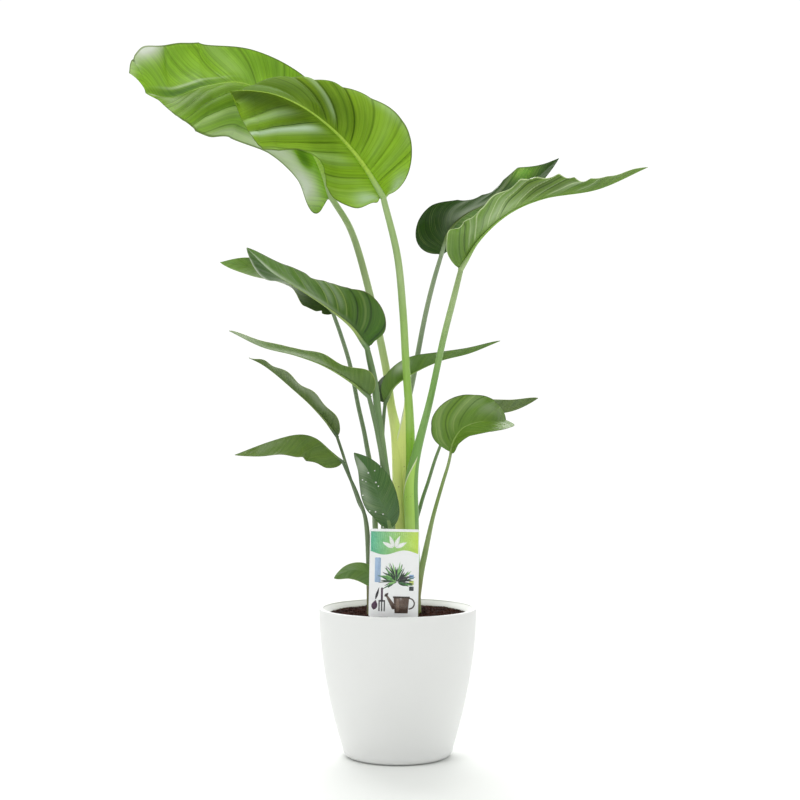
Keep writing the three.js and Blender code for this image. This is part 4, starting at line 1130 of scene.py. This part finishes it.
def ring_band(middle, radius, breadth, start, end, steps=16):
    """A bent strip round middle, its angles in degrees anticlockwise from +X."""
    a = np.radians(np.linspace(start, end, steps))
    arc = np.stack([np.cos(a), np.sin(a)], -1)
    outer, inner = arc * (radius + breadth / 2), arc * (radius - breadth / 2)
    return np.concatenate([outer, inner[::-1]]) + middle


class Print:
    """Flat printed shapes, each a thin closed plate that is sunk a little into the card."""

    def __init__(self):
        self.points, self.faces, self.inks, self.layer = [], [], [], 0

    def add(self, outline, ink, ink_right=None):
        """A shape by its outline, anticlockwise. ink_right is its colour at the card's right."""
        self.layer += 1
        outline = np.asarray(outline, float)
        lift = INK_RISE + self.layer * INK_STEP
        start, count = len(self.points), len(outline)
        self.points += on_label(outline, lift).tolist() + on_label(outline, -INK_SINK).tolist()
        left, right = (np.array(rgb(*one)[:3]) for one in (ink, ink_right or ink))
        share = np.clip((outline[:, :1] - INK_LEFT) / (INK_RIGHT - INK_LEFT), 0, 1)
        self.inks += (left * (1 - share) + right * share).tolist() * 2
        self.faces.append(tuple(range(start, start + count)))
        self.faces.append(tuple(range(start + 2 * count - 1, start + count - 1, -1)))
        for j in range(count):
            a, b = start + j, start + (j + 1) % count
            self.faces.append((a, a + count, b + count, b))


def make_card():
    """The card with its stake, its edges bevelled a little."""
    side, stake, point = LABEL_WIDTH / 2 / MM, STAKE_WIDTH / 2 / MM, STAKE_POINT / 2 / MM
    top, deep, taper = LABEL_HEIGHT / MM, -STAKE_LENGTH / MM, STAKE_TAPER / MM
    outline = card_outline(2 * side, top, LABEL_CORNER / MM, (0, top / 2))
    outline += [[-stake, 0], [-stake, deep + taper], [-point, deep], [point, deep],
                [stake, deep + taper], [stake, 0]]
    inset = np.array(outline) * [1 - CARD_BEVEL / MM / side, 1]
    layers = [on_label(inset, 0), on_label(outline, -CARD_BEVEL),
              on_label(outline, CARD_BEVEL - LABEL_THICKNESS), on_label(inset, -LABEL_THICKNESS)]
    count = len(outline)
    points = np.concatenate(layers)
    faces = [tuple(range(count)), tuple(range(4 * count - 1, 3 * count - 1, -1))]
    faces += grid_faces(4, count, closed=True)
    card = make_mesh("label_card_sheet", points, faces, 30)
    add_piece(card, "label_card", card_material(), "plant_label")


def make_print():
    """A band of leaves, a pale strip, three squares, a tuft of blades and three garden tools."""
    sheet = Print()
    teal, lime = (96, 196, 160), (206, 238, 92)
    edges = np.linspace(-BAND_SIDE, BAND_SIDE, BAND_STRIPS + 1)
    for x0, x1 in zip(edges, edges[1:]):
        low = [BAND_LOW + BAND_WAVE * math.sin(x / 10) for x in (x0, x1)]
        sheet.add([(x0, low[0]), (x1, low[1]), (x1, BAND_TOP), (x0, BAND_TOP)], teal, lime)
    white = (250, 253, 248)
    for angle in (-62, -22, 22, 62):
        sheet.add(lance((0, 105), angle, 21, 6), white)

    sheet.add(card_outline(9, 38, 1.5, (-25, 72)), (172, 200, 232))
    for height, ink in ((44, (52, 62, 66)), (53, (206, 222, 120)), (62, (150, 190, 226))):
        sheet.add(card_outline(7, 6.5, 1, (27, height)), ink)

    draw = np.random.default_rng(7)
    greens = [(22, 40, 32), (34, 66, 42), (58, 110, 62), (98, 158, 84), (44, 48, 52),
              (140, 196, 116)]
    for k in range(TUFT_BLADES):
        angle = TUFT_FAN * (k * GOLDEN % 1) - TUFT_FAN / 2
        foot = (4 + draw.uniform(-2, 2), 54 + draw.uniform(-2, 2))
        ink = greens[int(draw.integers(len(greens)))]
        sheet.add(lance(foot, angle, draw.uniform(17, 33) - 0.05 * abs(angle),
                        draw.uniform(1.8, 3.4), draw.uniform(-25, 25)), ink)

    brown, dark = (98, 78, 66), (64, 50, 44)
    sheet.add(ring_band((24, 21), 8, 2, -95, 95), dark)
    sheet.add([(2, 6), (22, 6), (24, 30), (0, 30)], brown)
    sheet.add([(2, 19), (-9.5, 33.5), (-12, 32), (-2, 12), (2, 12)], brown)
    sheet.add(lance((-14.5, 30.5), 45, 9, 4), dark)
    sheet.add(card_outline(26, 2.6, 1, (12, 30.5)), dark)
    sheet.add([(4.5, 8), (9, 8), (8.5, 28), (3.5, 28)], (128, 106, 92))

    purple, black = (74, 34, 70), (28, 28, 36)
    sheet.add(lance((-31, 9), 12, 17, 9), purple)
    sheet.add(lance((-28.5, 24), 16, 22, 3.4), black)
    sheet.add(card_outline(3, 20, 1.3, (-18, 35)), purple)
    sheet.add(card_outline(10, 2.4, 1, (-18, 24.5)), black)
    for x in (-22, -18, -14):
        sheet.add(card_outline(1.8, 16, 0.8, (x, 16.5)), black)
    label = make_mesh("label_print", sheet.points, sheet.faces, 0, {"ink": sheet.inks})
    add_piece(label, "label_card", ink_material())


# ---------------------------------------------------------------- stage

def make_stage():
    """The floor, the light of the room, the lamps and the camera."""
    scene = bpy.context.scene
    scene.view_settings.view_transform = "Standard"
    bpy.ops.mesh.primitive_plane_add(size=STUDIO_FLOOR)
    ground = bpy.context.object
    ground.name = "studio_floor"
    s = Shader("studio_floor_white")
    tone = s.noise(s.position(), 3, 2)
    color = s.mix(tone, rgb(240, 242, 239), rgb(242, 244, 241))
    ground.data.materials.append(s.finish(s.principled(base_color=color, roughness=0.9)))

    s = Shader("studio", "worlds")
    toward = s.node("ShaderNodeTexCoord").outputs["Generated"]
    ahead = s.node("ShaderNodeVectorMath", {0: toward, 1: (0, 0, 0)}, operation="MAXIMUM")
    rise = s.node("ShaderNodeVectorMath", {0: ahead.outputs[0], 1: ROOM_RISE},
                  operation="DOT_PRODUCT")
    white = (1, 1, 1, 1)
    level = s.plus(rise.outputs["Value"], ROOM_LIGHT)
    light = s.node("ShaderNodeBackground", {"Color": white, "Strength": level})
    seen = s.node("ShaderNodeBackground", {"Color": white, "Strength": BACKDROP})
    path = s.node("ShaderNodeLightPath").outputs["Is Camera Ray"]
    both = s.node("ShaderNodeMixShader", {0: path, 1: light.outputs[0], 2: seen.outputs[0]})
    scene.world = s.finish(both.outputs[0], "ShaderNodeOutputWorld")

    for name, place, size, power in LAMPS:
        kind = "SUN" if name == "ceiling_glow" else "AREA"
        data = bpy.data.lights.new(name, kind)
        data.energy = power
        if kind == "SUN":
            data.angle = math.radians(size)
        else:
            data.size = size
        lamp = bpy.data.objects.new(name, data)
        scene.collection.objects.link(lamp)
        lamp.location = place
        lamp.rotation_euler = (MIDDLE - Vector(place)).to_track_quat("-Z", "Y").to_euler()

    data = bpy.data.cameras.new("camera")
    data.sensor_width = CAMERA_SENSOR
    data.lens = CAMERA_LENS
    camera = bpy.data.objects.new("camera", data)
    scene.collection.objects.link(camera)
    camera.location = CAMERA_PLACE
    camera.rotation_euler = (math.radians(90), 0, 0)
    scene.camera = camera


make_stage()
make_pot()
make_soil()
make_card()
make_print()
for sheath in SHEATHS:
    make_sheath(*sheath)
for seed, (name, leaf) in enumerate(LEAVES.items()):
    make_stalk(name, leaf)
    make_blade(name, leaf, seed)
make_drops()
